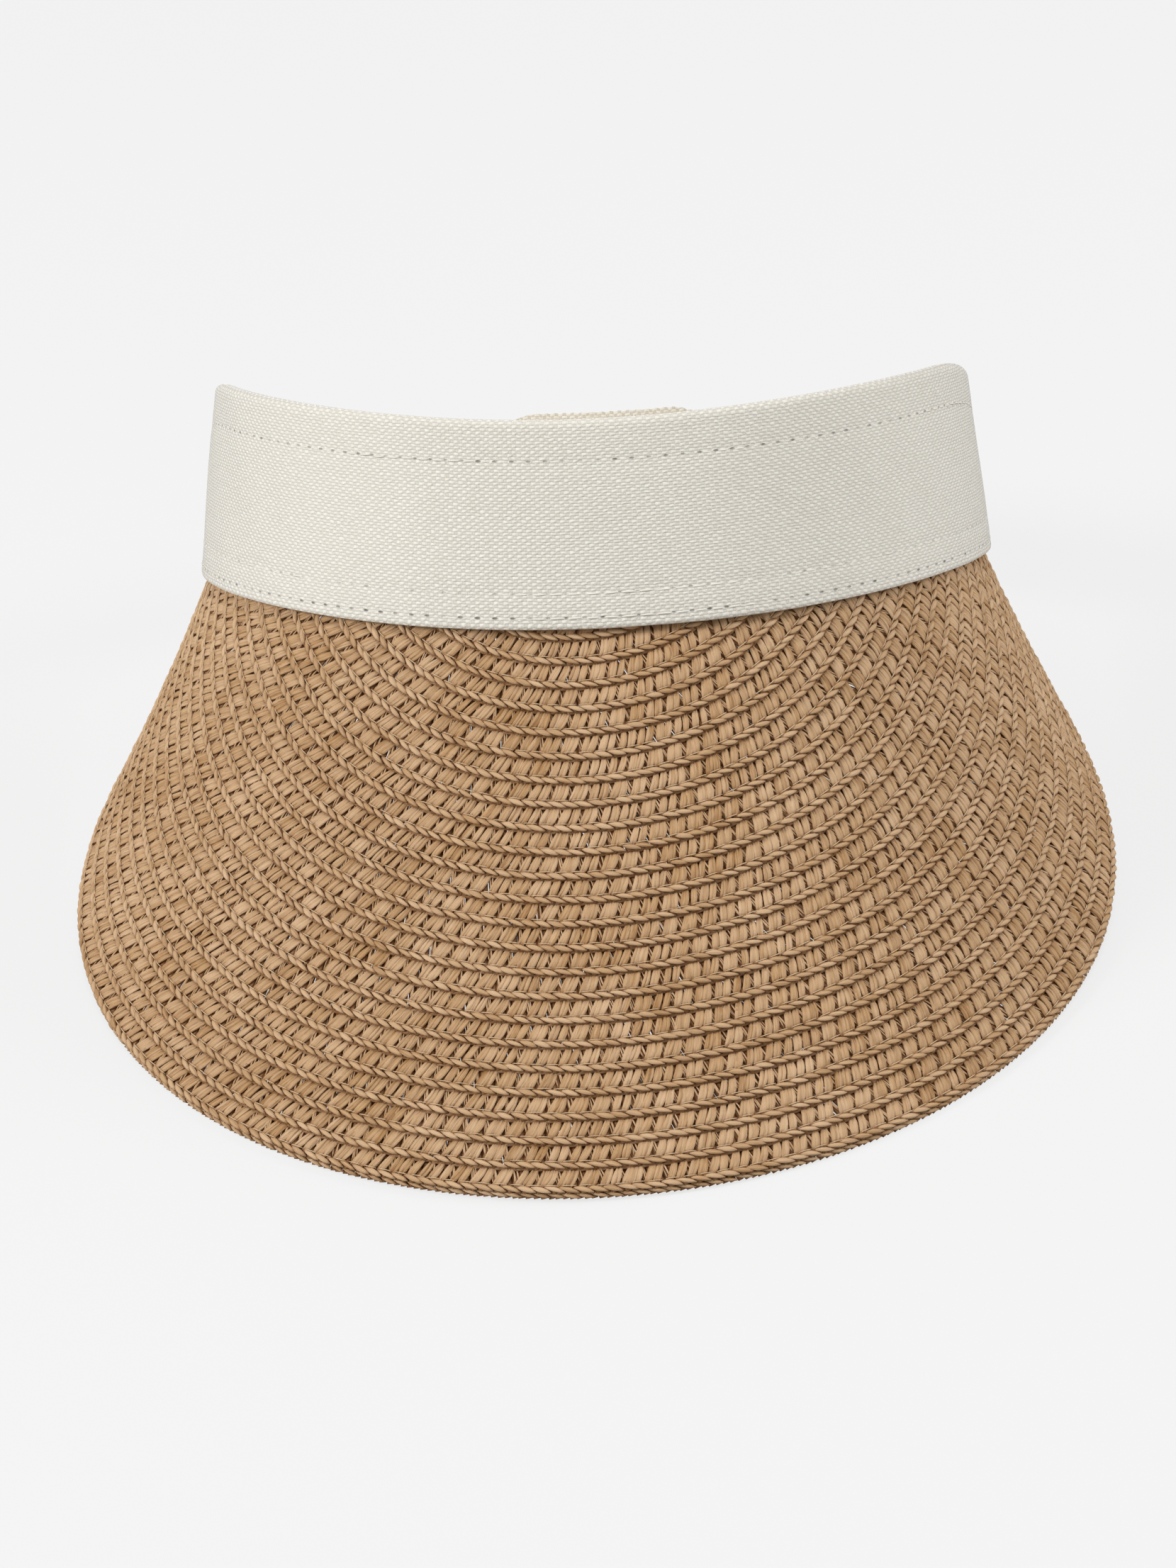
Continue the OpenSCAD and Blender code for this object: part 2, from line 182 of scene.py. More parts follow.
def rolledUp(x, y):  # from a place on the flat brim to the angle t and the distance s
    side, x = np.sign(x), np.abs(x)
    low, high = np.zeros_like(x), np.full_like(x, 149.9)
    for _ in range(24):
        middle = (low + high) / 2
        heading, cx, cy = flatAt(middle)
        ahead = (x - cx) * np.cos(heading) + (y - cy) * np.sin(heading) > 0
        low, high = np.where(ahead, middle, low), np.where(ahead, high, middle)
    heading, cx, cy = flatAt(low)
    s = (x - cx) * np.sin(heading) - (y - cy) * np.cos(heading)
    return np.where(side < 0, -low, low), s


# small helpers
def deselect():
    if bpy.context.object and bpy.context.object.mode != "OBJECT":
        bpy.ops.object.mode_set(mode="OBJECT")
    bpy.ops.object.select_all(action="DESELECT")


def coordinates(obj):
    co = np.zeros(len(obj.data.vertices) * 3)
    obj.data.vertices.foreach_get("co", co)
    return co.reshape(-1, 3)


def moveVertices(obj, co):
    obj.data.vertices.foreach_set("co", np.asarray(co, float).ravel())
    obj.data.update()


def pick(obj):
    deselect()
    bpy.context.view_layer.objects.active = obj
    obj.select_set(True)


def addObject(name, data):
    obj = bpy.data.objects.new(name, data)
    bpy.context.scene.collection.objects.link(obj)
    return obj


def applyModifier(obj, kind, **settings):
    pick(obj)
    modifier = obj.modifiers.new(kind.title(), kind)
    for key, value in settings.items():
        setattr(modifier, key, value)
    bpy.ops.object.modifier_apply(modifier=modifier.name)


def setAttribute(obj, name, values):
    attribute = obj.data.attributes.get(name) or obj.data.attributes.new(name, "FLOAT", "POINT")
    attribute.data.foreach_set("value", np.asarray(values, np.float32).ravel())


def setMap(obj, uv):  # one pair of numbers a vertex
    layer = obj.data.uv_layers.get("surface") or obj.data.uv_layers.new(name="surface")
    corners = np.zeros(len(obj.data.loops), np.int64)
    obj.data.loops.foreach_get("vertex_index", corners)
    layer.data.foreach_set("uv", np.asarray(uv, np.float32)[corners].ravel())


def finishPiece(obj, material, body, nodes, smoothAngle=None):
    obj.data.materials.clear()
    obj.data.materials.append(material)
    if smoothAngle is None:
        obj.data.polygons.foreach_set("use_smooth", [True] * len(obj.data.polygons))
    else:
        pick(obj)
        bpy.ops.object.shade_smooth_by_angle(angle=math.radians(smoothAngle))
    obj.data.update()
    if isinstance(body, str):
        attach(obj, body)
    else:
        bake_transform(obj)
    if nodes:
        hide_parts(*nodes)
    return obj


# shader groups
class Tree:
    def __init__(self, tree):
        self.tree = tree

    def node(self, kind, **values):
        node = self.tree.nodes.new(kind)
        for key, value in values.items():
            setattr(node, key, value)
        return node

    def link(self, value, socket):
        if hasattr(value, "links"):
            self.tree.links.new(value, socket)
        else:
            socket.default_value = value

    def math(self, operation, *values, clamp=False):
        node = self.node("ShaderNodeMath", operation=operation, use_clamp=clamp)
        for i, value in enumerate(values):
            self.link(value, node.inputs[i])
        return node.outputs[0]

    def times(self, a, b):
        return self.math("MULTIPLY", a, b)

    def plus(self, a, b, clamp=False):
        return self.math("ADD", a, b, clamp=clamp)

    def minus(self, a, b, clamp=False):
        return self.math("SUBTRACT", a, b, clamp=clamp)

    def vector(self, operation, a, b, second=1):
        node = self.node("ShaderNodeVectorMath", operation=operation)
        self.link(a, node.inputs[0])
        self.link(b, node.inputs[second])
        return node.outputs[0]

    def joined(self, x, y, z=0.0):
        node = self.node("ShaderNodeCombineXYZ")
        for i, value in enumerate((x, y, z)):
            self.link(value, node.inputs[i])
        return node.outputs[0]

    def parts(self, vector):
        node = self.node("ShaderNodeSeparateXYZ")
        self.link(vector, node.inputs[0])
        return node.outputs

    def attribute(self, name):
        return self.node("ShaderNodeAttribute", attribute_name=name).outputs["Fac"]

    def places(self):  # along and across the piece's own surface, and its place in the frame
        return (self.node("ShaderNodeUVMap", uv_map="surface").outputs[0],
                self.node("ShaderNodeTexCoord").outputs["Object"])

    def blend(self, factor, a, b):
        node = self.node("ShaderNodeMix", data_type="FLOAT")
        for socket, value in zip((node.inputs[0], node.inputs[2], node.inputs[3]), (factor, a, b)):
            self.link(value, socket)
        return node.outputs[0]

    def colourBlend(self, factor, a, b):
        node = self.node("ShaderNodeMix", data_type="RGBA")
        for socket, value in zip((node.inputs[0], node.inputs[6], node.inputs[7]), (factor, a, b)):
            self.link(value, socket)
        return node.outputs[2]

    def spread(self, value, low, high, toLow=0.0, toHigh=1.0):
        node = self.node("ShaderNodeMapRange", interpolation_type="SMOOTHSTEP")
        for i, v in enumerate((value, low, high, toLow, toHigh)):
            self.link(v, node.inputs[i])
        return node.outputs[0]

    def noise(self, vector, scale, detail=2.0, roughness=0.5, output="Fac"):
        node = self.node("ShaderNodeTexNoise")
        for key, value in (("Vector", vector), ("Scale", scale), ("Detail", detail),
                           ("Roughness", roughness)):
            self.link(value, node.inputs[key])
        return node.outputs[output]

    def group(self, group, **values):
        node = self.node("ShaderNodeGroup", node_tree=group)
        for key, value in values.items():
            self.link(value, node.inputs[key])
        return node.outputs


def startGroup(name, inputs, outputs):
    group = bpy.data.node_groups.new(name, "ShaderNodeTree")
    for label, kind, value in inputs:
        socket = group.interface.new_socket(name=label, in_out="INPUT", socket_type=kind)
        if value is not None:
            socket.default_value = value
    for label in outputs:
        group.interface.new_socket(name=label, in_out="OUTPUT", socket_type=num)
    tree = Tree(group)
    return group, tree, tree.node("NodeGroupInput").outputs, tree.node("NodeGroupOutput").inputs


vec, num = "NodeSocketVector", "NodeSocketFloat"


def weaveGroup():  # plain weave: rounded yarns that pass over and under each other
    group, tree, given, out = startGroup(
        "plainWeave",
        [("Vector", vec, None), ("Yarn", num, 1.3), ("Wander", num, 0.35), ("Warp Drop", num, 0.68),
         ("Squash", num, 0.64)],
        ["Height", "Knot", "Gap"])
    spacing = tree.joined(given["Yarn"], tree.times(given["Yarn"], given["Squash"]), 1.0)
    scaled = tree.vector("DIVIDE", given["Vector"], spacing)
    drift = tree.vector("SUBTRACT", tree.noise(scaled, 0.55, 3.0, output="Color"), (0.5, 0.5, 0.5))
    moved = tree.vector("SCALE", drift, given["Wander"], "Scale")
    x, y, _ = tree.parts(tree.vector("ADD", scaled, moved))
    column, line = tree.math("FLOOR", x), tree.math("FLOOR", y)
    fx = tree.minus(tree.minus(x, column), 0.5)
    fy = tree.minus(tree.minus(y, line), 0.5)

    def yarn(across, run, turn, narrow):  # a round yarn that rises and dips once in two crossings
        side = tree.times(across, narrow)
        barrel = tree.math("SQRT", tree.minus(1.0, tree.times(side, side), clamp=True))
        angle = tree.times(tree.plus(run, turn), math.pi)
        return tree.times(barrel, tree.math("MULTIPLY_ADD", tree.math("COSINE", angle), 0.46, 0.54))

    weft = yarn(fy, tree.plus(fx, column), tree.plus(line, 1.0), 1.66)
    warp = yarn(fx, tree.plus(fy, line), column, 1.85)
    sunken = tree.times(warp, tree.minus(1.0, given["Warp Drop"]))
    height = tree.math("MAXIMUM", weft, sunken)
    knot = tree.node("ShaderNodeTexWhiteNoise", noise_dimensions="3D")
    tree.link(tree.joined(column, line), knot.inputs["Vector"])
    tree.link(height, out["Height"])
    tree.link(knot.outputs["Value"], out["Knot"])
    # the Gap mask marks the low places between yarns, which get painted shade
    tree.link(tree.spread(height, 0.50, 0.18), out["Gap"])
    return group


def streakGroup():  # fibres that run along a strand or a thread
    group, tree, given, out = startGroup(
        "fibreStreaks", [("Vector", vec, None), ("Across", num, 5.0), ("Along", num, 0.35)],
        ["Height", "Tone"])
    x, y, _ = tree.parts(given["Vector"])
    drawn = tree.joined(tree.times(x, given["Across"]), tree.times(y, given["Along"]))
    fine, broad = tree.noise(drawn, 1.0, 3.0, 0.6), tree.noise(drawn, 0.35, 1.0)
    tree.link(fine, out["Height"])
    tree.link(tree.plus(tree.times(fine, 0.6), tree.times(broad, 0.4)), out["Tone"])
    return group


def mottleGroup():  # slow changes of shade over the whole piece
    group, tree, given, out = startGroup(
        "slowShade", [("Vector", vec, None), ("Scale", num, 30.0)], ["Factor"])
    tree.link(tree.spread(tree.noise(given["Vector"], given["Scale"], 3.0), 0.3, 0.7), out["Factor"])
    return group


# mask for the painted shade in the needle holes
def holesGroup():  # needle holes between the stitches of a line
    group, tree, given, out = startGroup(
        "needleHoles", [("Along", num, 0.0), ("Distance", num, 0.0), ("Pitch", num, 4.0)], ["Mask"])
    phase = tree.math("FRACT", tree.math("DIVIDE", given["Along"], given["Pitch"]))
    away = tree.times(tree.math("ABSOLUTE", tree.minus(phase, 0.5)), given["Pitch"])
    flat = tree.times(away, 0.38)
    squares = tree.plus(tree.times(flat, flat), tree.times(given["Distance"], given["Distance"]))
    tree.link(tree.spread(tree.math("SQRT", squares), 0.29, 0.09), out["Mask"])
    return group


plainWeave, fibreStreaks = weaveGroup(), streakGroup()
slowShade, needleHoles = mottleGroup(), holesGroup()


def startMaterial(name, roughness, sheen, specular):
    material = bpy.data.materials.new(name)
    material.use_nodes = True
    shader = material.node_tree.nodes["Principled BSDF"]
    for key, value in (("Roughness", roughness), ("Specular IOR Level", specular),
                       ("Sheen Weight", sheen)):
        shader.inputs[key].default_value = value
    return material, Tree(material.node_tree), shader


def addBump(tree, shader, height, strength, distance):
    bump = tree.node("ShaderNodeBump")
    for key, value in (("Strength", strength), ("Distance", distance), ("Height", height)):
        tree.link(value, bump.inputs[key])
    tree.link(bump.outputs[0], shader.inputs["Normal"])


# the darkest brown of the straw is painted shade: covered strand ends and flanks, the backing between
# bundles and the strip under the rope of the row above are blended towards it
strawLook = {
    "dark": (0.31, 0.150, 0.048, 1), "middle": (0.52, 0.315, 0.148, 1),
    "light": (0.69, 0.480, 0.295, 1), "paintedShade": (0.19, 0.058, 0.008, 1), "paintedShadeShare": 0.85,
    "across": 2.9, "alongShare": 0.20, "bump": 0.85, "bumpDepth": 0.00030, "shadeScale": 45.0,
    "strandPale": 0.75, "slowPale": 0.25, "paleStart": -0.12,
}


def strawMaterial(name):
    material, tree, shader = startMaterial(name, 0.55, 0.0, 0.28)
    flat, place = tree.places()
    streaks = tree.group(fibreStreaks, Vector=flat, Across=strawLook["across"],
                         Along=strawLook["alongShare"])
    slow = tree.group(slowShade, Vector=place, Scale=strawLook["shadeScale"])["Factor"]
    strand, depth = tree.attribute("strandShade"), tree.attribute("strandPaintedShade")
    base = tree.colourBlend(tree.spread(streaks["Tone"], 0.36, 0.60), strawLook["dark"],
                            strawLook["middle"])
    mottled = tree.math("MULTIPLY_ADD", slow, strawLook["slowPale"], strawLook["paleStart"])
    pale = tree.plus(tree.times(strand, strawLook["strandPale"]), mottled, clamp=True)
    # painted shade: the strand's painted-shade amount blends the colour towards the darkest brown
    colour = tree.colourBlend(tree.times(depth, strawLook["paintedShadeShare"]),
                              tree.colourBlend(pale, base, strawLook["light"]), strawLook["paintedShade"])
    tree.link(colour, shader.inputs["Base Color"])
    tree.link(tree.blend(streaks["Tone"], 0.42, 0.68), shader.inputs["Roughness"])
    addBump(tree, shader, streaks["Height"], strawLook["bump"], strawLook["bumpDepth"])
    return material


threadLook = {"across": 9.0, "along": 2.0, "bump": 0.5, "bumpDepth": 0.00008}


def threadMaterial(name, colour, dark):
    material, tree, shader = startMaterial(name, 0.45, 0.1, 0.4)
    streaks = tree.group(fibreStreaks, Vector=tree.places()[0], Across=threadLook["across"],
                         Along=threadLook["along"])
    tree.link(tree.colourBlend(streaks["Tone"], dark, colour), shader.inputs["Base Color"])
    tree.link(tree.blend(streaks["Tone"], 0.35, 0.6), shader.inputs["Roughness"])
    addBump(tree, shader, streaks["Height"], threadLook["bump"], threadLook["bumpDepth"])
    return material


# gap is painted shade between the yarns; hole is painted shade in the needle holes
canvasLook = {
    "yarn": 1.02, "wander": 0.85, "light": (0.87, 0.84, 0.76, 1), "shade": (0.80, 0.765, 0.68, 1),
    "gap": (0.57, 0.53, 0.45, 1), "fleck": (0.72, 0.63, 0.48, 1), "hole": (0.10, 0.085, 0.07, 1),
    "bump": 0.95, "bumpDepth": 0.00034, "shadeScale": 38.0, "fuzzScale": 2600.0, "fuzz": 0.12,
    "gapShare": 0.75, "slowShare": 0.35, "holeShare": 0.9, "holeDepth": 1.4,
}
stitching = {
    "top": 8.8, "hem": 7.4, "edge": 2.4, "pitch": 3.75, "tailInset": 2.2, "tailPitch": 3.2,
    "thread": 0.42, "rowPitch": 3.3, "rowInset": 1.78, "rowThread": 0.19, "rowEnds": 9.5,
    "crownClear": 1.7, "halfHole": 0.30, "patchInset": 1.2,
}


def clothMaterial(name, look, lines=()):
    material, tree, shader = startMaterial(name, 0.85, 0.5, 0.2)
    flat, place = tree.places()
    weave = tree.group(plainWeave, Vector=flat, Yarn=look["yarn"], Wander=look["wander"])
    slow = tree.group(slowShade, Vector=place, Scale=look["shadeScale"])["Factor"]
    knots = tree.colourBlend(weave["Knot"], look["shade"], look["light"])
    toned = tree.colourBlend(tree.times(slow, look["slowShare"]), knots, look["light"])
    flecks = tree.spread(tree.noise(place, 900.0, 1.0), 0.70, 0.78, 0.0, 0.45)
    toned = tree.colourBlend(flecks, toned, look["fleck"])
    # painted shade in the gaps between the yarns
    colour = tree.colourBlend(tree.times(weave["Gap"], look["gapShare"]), toned, look["gap"])
    fuzz = tree.times(tree.noise(place, look["fuzzScale"]), look["fuzz"])
    height = tree.plus(weave["Height"], fuzz)
    if lines:
        run = tree.parts(flat)[0]
        edges = {"low": tree.attribute("fromLow"), "top": tree.attribute("fromTop")}
        holes = 0.0
        for side, at, pitch, strength in lines:
            mask = tree.group(needleHoles, Along=run, Distance=tree.minus(edges[side], at), Pitch=pitch)
            holes = tree.math("MAXIMUM", holes, tree.times(mask[0], strength))
        uneven = tree.spread(tree.noise(place, 160.0), 0.35, 0.65, 0.25, 1.0)
        holes = tree.times(holes, uneven)
        # painted shade in the needle holes
        colour = tree.colourBlend(tree.times(holes, look["holeShare"]), colour, look["hole"])
        height = tree.minus(height, tree.times(holes, look["holeDepth"]))
    tree.link(colour, shader.inputs["Base Color"])
    tree.link(tree.blend(weave["Height"], 0.95, 0.72), shader.inputs["Roughness"])
    addBump(tree, shader, height, look["bump"], look["bumpDepth"])
    return material


def plainMaterial(name, light, dark, scale, roughness, bump, depth, sheen):
    material, tree, shader = startMaterial(name, roughness, sheen, 0.3)
    place = tree.places()[1]
    fine = tree.noise(place, scale, 4.0, 0.6)
    slow = tree.group(slowShade, Vector=place, Scale=40.0)["Factor"]
    mixed = tree.colourBlend(tree.spread(fine, 0.3, 0.7), dark, light)
    tree.link(tree.colourBlend(tree.times(slow, 0.2), mixed, light), shader.inputs["Base Color"])
    tree.link(tree.blend(fine, min(1.0, roughness + 0.12), roughness - 0.1), shader.inputs["Roughness"])
    addBump(tree, shader, fine, bump, depth)
    return material


# the lining's and the sweatband's gap colours are painted shade between the yarns too
liningLook = dict(canvasLook, yarn=0.7, wander=0.3, light=(0.83, 0.79, 0.70, 1),
                  shade=(0.76, 0.71, 0.61, 1), bump=0.5, bumpDepth=0.00015)
sweatLook = dict(canvasLook, yarn=0.9, wander=0.3, light=(0.83, 0.78, 0.68, 1),
                 shade=(0.76, 0.70, 0.59, 1), gap=(0.50, 0.44, 0.35, 1), bump=0.6, bumpDepth=0.0002)
plainLooks = {  # light, dark, grain, roughness, bump, bump depth, sheen
    "stiffFelt": ((0.86, 0.86, 0.83, 1), (0.74, 0.74, 0.71, 1), 1500.0, 0.7, 0.4, 0.0001, 0.0),
    "loopPile": ((0.86, 0.83, 0.76, 1), (0.60, 0.57, 0.49, 1), 2200.0, 0.9, 0.9, 0.0004, 0.3),
    "hookNylon": ((0.87, 0.85, 0.79, 1), (0.77, 0.75, 0.68, 1), 900.0, 0.4, 0.2, 0.00005, 0.0),
}
# each line of holes: the edge it is measured from, how far in, its pitch and how strongly its painted
# shade shows
frontLines = [("top", stitching["top"], stitching["pitch"], 0.75),
              ("low", stitching["hem"], stitching["pitch"], 0.35),
              ("low", stitching["edge"], stitching["pitch"], 0.9)]
tailLines = [(side, stitching["tailInset"], stitching["tailPitch"], 0.7) for side in ("top", "low")]
strawBraid = strawMaterial("strawBraid")
strawThread = threadMaterial("strawThread", (0.80, 0.62, 0.40, 1), (0.58, 0.41, 0.23, 1))
canvasCloth = clothMaterial("canvasCloth", canvasLook, frontLines)
tailCloth = clothMaterial("tailCloth", canvasLook, tailLines)
liningCloth = clothMaterial("liningCloth", liningLook)
sweatCloth = clothMaterial("sweatCloth", sweatLook)
canvasThread = threadMaterial("canvasThread", (0.90, 0.87, 0.80, 1), (0.74, 0.70, 0.61, 1))
stiffFelt, loopPile, hookNylon = (plainMaterial(name, *look) for name, look in plainLooks.items())
print("materials made")

# strands, modelled once
strandShapes = {  # sides, then width and thickness at each ring from end to end
    "fieldStrand": {"sides": 6, "widths": (0.36, 0.66, 0.90, 1.0, 0.92, 0.52),
                    "thicknesses": (0.55, 0.9, 1.0, 1.0, 0.9, 0.55)},
    "backStrand": {"sides": 4, "widths": (0.85, 1.0, 1.0, 1.0, 0.85),
                   "thicknesses": (0.6, 1.0, 1.0, 1.0, 0.6)},
    "ropeLeaf": {"sides": 6, "widths": (0.22, 0.72, 1.0, 1.0, 0.76, 0.26),
                 "thicknesses": (0.35, 0.8, 1.0, 1.0, 0.8, 0.35)},
    "stitch": {"sides": 4, "widths": (0.6, 1.0, 1.0, 1.0, 0.6),
               "thicknesses": (0.6, 1.0, 1.0, 1.0, 0.6)},
}


def modelStrand(name, shape):  # one unit long along Y, one wide along X, one thick along Z
    deselect()
    bpy.ops.mesh.primitive_cylinder_add(vertices=shape["sides"], radius=0.5, depth=1.0,
                                        end_fill_type="NGON", location=(0, 0.5, 0),
                                        rotation=(math.pi / 2, 0, 0))
    obj = bpy.context.object
    obj.name = name
    bpy.ops.object.transform_apply(location=True, rotation=True, scale=True)
    bpy.ops.object.mode_set(mode="EDIT")
    bpy.ops.mesh.select_mode(type="EDGE")
    bpy.ops.mesh.select_all(action="DESELECT")
    bpy.ops.object.mode_set(mode="OBJECT")
    for e in obj.data.edges:
        a, b = (obj.data.vertices[i].co.y for i in e.vertices)
        e.select = abs(a - b) > 0.5
    bpy.ops.object.mode_set(mode="EDIT")
    rings = len(shape["widths"])
    bpy.ops.mesh.subdivide(number_cuts=rings - 2)
    bpy.ops.mesh.select_mode(type="VERT")
    for i, (w, h) in enumerate(zip(shape["widths"], shape["thicknesses"])):
        bpy.ops.mesh.select_all(action="DESELECT")
        bpy.ops.object.mode_set(mode="OBJECT")
        y = i / (rings - 1)
        for v in obj.data.vertices:
            v.select = abs(v.co.y - y) < 0.02
        bpy.ops.object.mode_set(mode="EDIT")
        bpy.ops.transform.resize(value=(w, 1, h), center_override=(0, y, 0))
    bpy.ops.object.mode_set(mode="OBJECT")
    model = {"points": coordinates(obj), "faces": [tuple(p.vertices) for p in obj.data.polygons]}
    bpy.data.objects.remove(obj)
    return model


strands = {name: modelStrand(name, shape) for name, shape in strandShapes.items()}
# painted shade on the ends and flanks of strands that lie under others
buriedPaintedShade = 0.62  # how dark a strand's covered ends and flanks are


# Copies of one strand, each from start to end: along the row, across it, height off it. handed is
# -1 where the surface's own directions run the other way round, so that faces still point outward.
def layStrands(kind, start, end, width, thick, lift, arch, bow=0.0, handed=1):
    shape = strands[kind]["points"]
    x, a, z = shape[:, 0], shape[:, 1], shape[:, 2]
    count = len(start)
    width, thick, lift, arch, bow = (np.broadcast_to(np.asarray(v, float), (count,))[:, None]
                                     for v in (width, thick, lift, arch, bow))
    run = end - start
    length = np.linalg.norm(run, axis=1, keepdims=True)
    way = run / length
    side = (bow * np.sin(np.pi * a) + width * x) * handed
    points = np.stack([start[:, :1] + run[:, :1] * a + way[:, 1:] * side,
                       start[:, 1:] + run[:, 1:] * a - way[:, :1] * side,
                       lift + arch * np.sin(np.pi * a) + thick * z], -1)
    # Masks for painted shade: both ends of a strand and its sides, where other strands cover it; the
    # upper mask keeps the painted shade off the strand's underside.
    ends = smooth((np.abs(2 * a - 1) - 0.45) / 0.55)
    flanks = smooth((np.abs(x) * 2 - 0.55) / 0.45) * (z < 0.2)
    return {"kind": kind, "points": points, "across": width * x, "along": length * a,
            "buried": np.maximum(ends, flanks), "upper": (z > -0.2) * 1.0}


def strandPiece(name, layers, place, rng):  # one mesh from all the strands of a piece
    points, faces, maps, shades, depths, base = [], [], [], [], [], 0
    for layer in layers:
        p = layer["points"]
        count, size = p.shape[:2]
        offsets = rng.random((count, 2)) * 60
        points.append(p.reshape(-1, 3))
        maps.append(np.stack([layer["across"] + offsets[:, :1], layer["along"] + offsets[:, 1:]],
                             -1).reshape(-1, 2))
        shades.append(np.repeat(layer.get("shade", np.full(count, 0.5)), size))
        # painted shade, the strand's own amount or that of its covered ends and flanks, on its upper
        # side only
        depth = np.maximum(layer.get("depth", 0.0), layer["buried"] * buriedPaintedShade) * layer["upper"]
        depths.append(np.broadcast_to(depth, (count, size)).ravel())
        for i in range(count):
            first = base + i * size
            faces += [tuple(first + v for v in f) for f in strands[layer["kind"]]["faces"]]
        base += count * size
    mesh = bpy.data.meshes.new(name)
    mesh.from_pydata(place(np.concatenate(points)).tolist(), [], faces)
    obj = addObject(name, mesh)
    setMap(obj, np.concatenate(maps))
    setAttribute(obj, "strandShade", np.concatenate(shades))
    setAttribute(obj, "strandPaintedShade", np.concatenate(depths))
    return obj


def laidOn(layer, place):  # the same strands, moved onto a surface
    layer["points"] = place(layer["points"].reshape(-1, 3)).reshape(layer["points"].shape)
    return layer


# The braid: leaning bundles over thin crossing strands and a backing, with a rope of leaves along
# the lower edge and a thick strand hidden under the row above
# Some entries set painted shade: how dark the crossing strands, the backing and the hidden inner strand
# are made, how much of it the rope leaves take, and how far the painted shadow under the rope of the
# row above reaches.
braidCell = {
    "pitch": 4.15, "lean": 1.65, "bundleTop": 0.40, "bundleFoot": 1.45, "bundleApart": 0.82,
    "ribbonWidth": 1.58, "ribbonThick": 0.62, "ribbonLift": 0.04, "bundleArch": 0.36,
    "overApart": 0.42, "overWidth": 1.0, "overThick": 0.44, "overLift": 0.15,
    "crossApart": 0.36, "crossWidth": 0.34, "crossThick": 0.30, "crossLift": 0.06,
    "crossLean": 1.05, "crossFoot": 2.2, "crossPaintedShade": 0.05,
    "backLean": 0.9, "backWidth": 1.55, "backThick": 0.36, "backLift": -0.24, "backEdge": 0.25,
    "backPaintedShade": 0.78,
    "leafPitch": 2.75, "leafReach": 0.72, "ropeIn": 1.58, "ropeOut": 0.40, "ropeWidth": 1.16,
    "ropeThick": 0.84, "ropeLift": -0.04, "ropeArch": 0.24, "ropePaintedShade": 0.70,
    "innerWidth": 1.1, "innerThick": 1.04, "innerLift": 0.28, "innerPaintedShade": 0.35,
    "jitter": 0.20, "shadowAt": 1.18, "shadowFade": 0.42,
}


def rowSpan(radius):  # flat angle at which a row meets the cut end of the brim
    t = np.linspace(0, 149, 1193)
    heading, cx, cy = flatAt(t)
    b = cx * np.sin(heading) - cy * np.cos(heading)
    d = b * b - cx * cx - cy * cy + radius * radius
    s = np.where(d > 0, -b + np.sqrt(np.maximum(d, 0)), -99)
    last = np.flatnonzero(s > 0.7 - brim["seamAllowance"])[-1]
    x = cx[last] + np.sin(heading[last]) * s[last]
    y = cy[last] - np.cos(heading[last]) * s[last]
    return math.atan2(x, -y)


def braidPlacer(outerRadius, width, topAtRim, middleRadius):
    def place(p):
        radius = outerRadius - width + p[:, 1]
        turn = p[:, 0] / middleRadius
        t, s = rolledUp(radius * np.sin(turn), -radius * np.cos(turn))
        squeeze = 0.55 + 0.45 * smooth((s + 0.5) / 3)  # flatter where the canvas presses on it
        n = topAtRim - braid["drop"] * (outerRadius - radius) / braid["width"] - braid["thick"] / 2
        return brimPoint(t, np.maximum(s, 0.05 - brim["seamAllowance"]), n + p[:, 2] * squeeze)
    return place


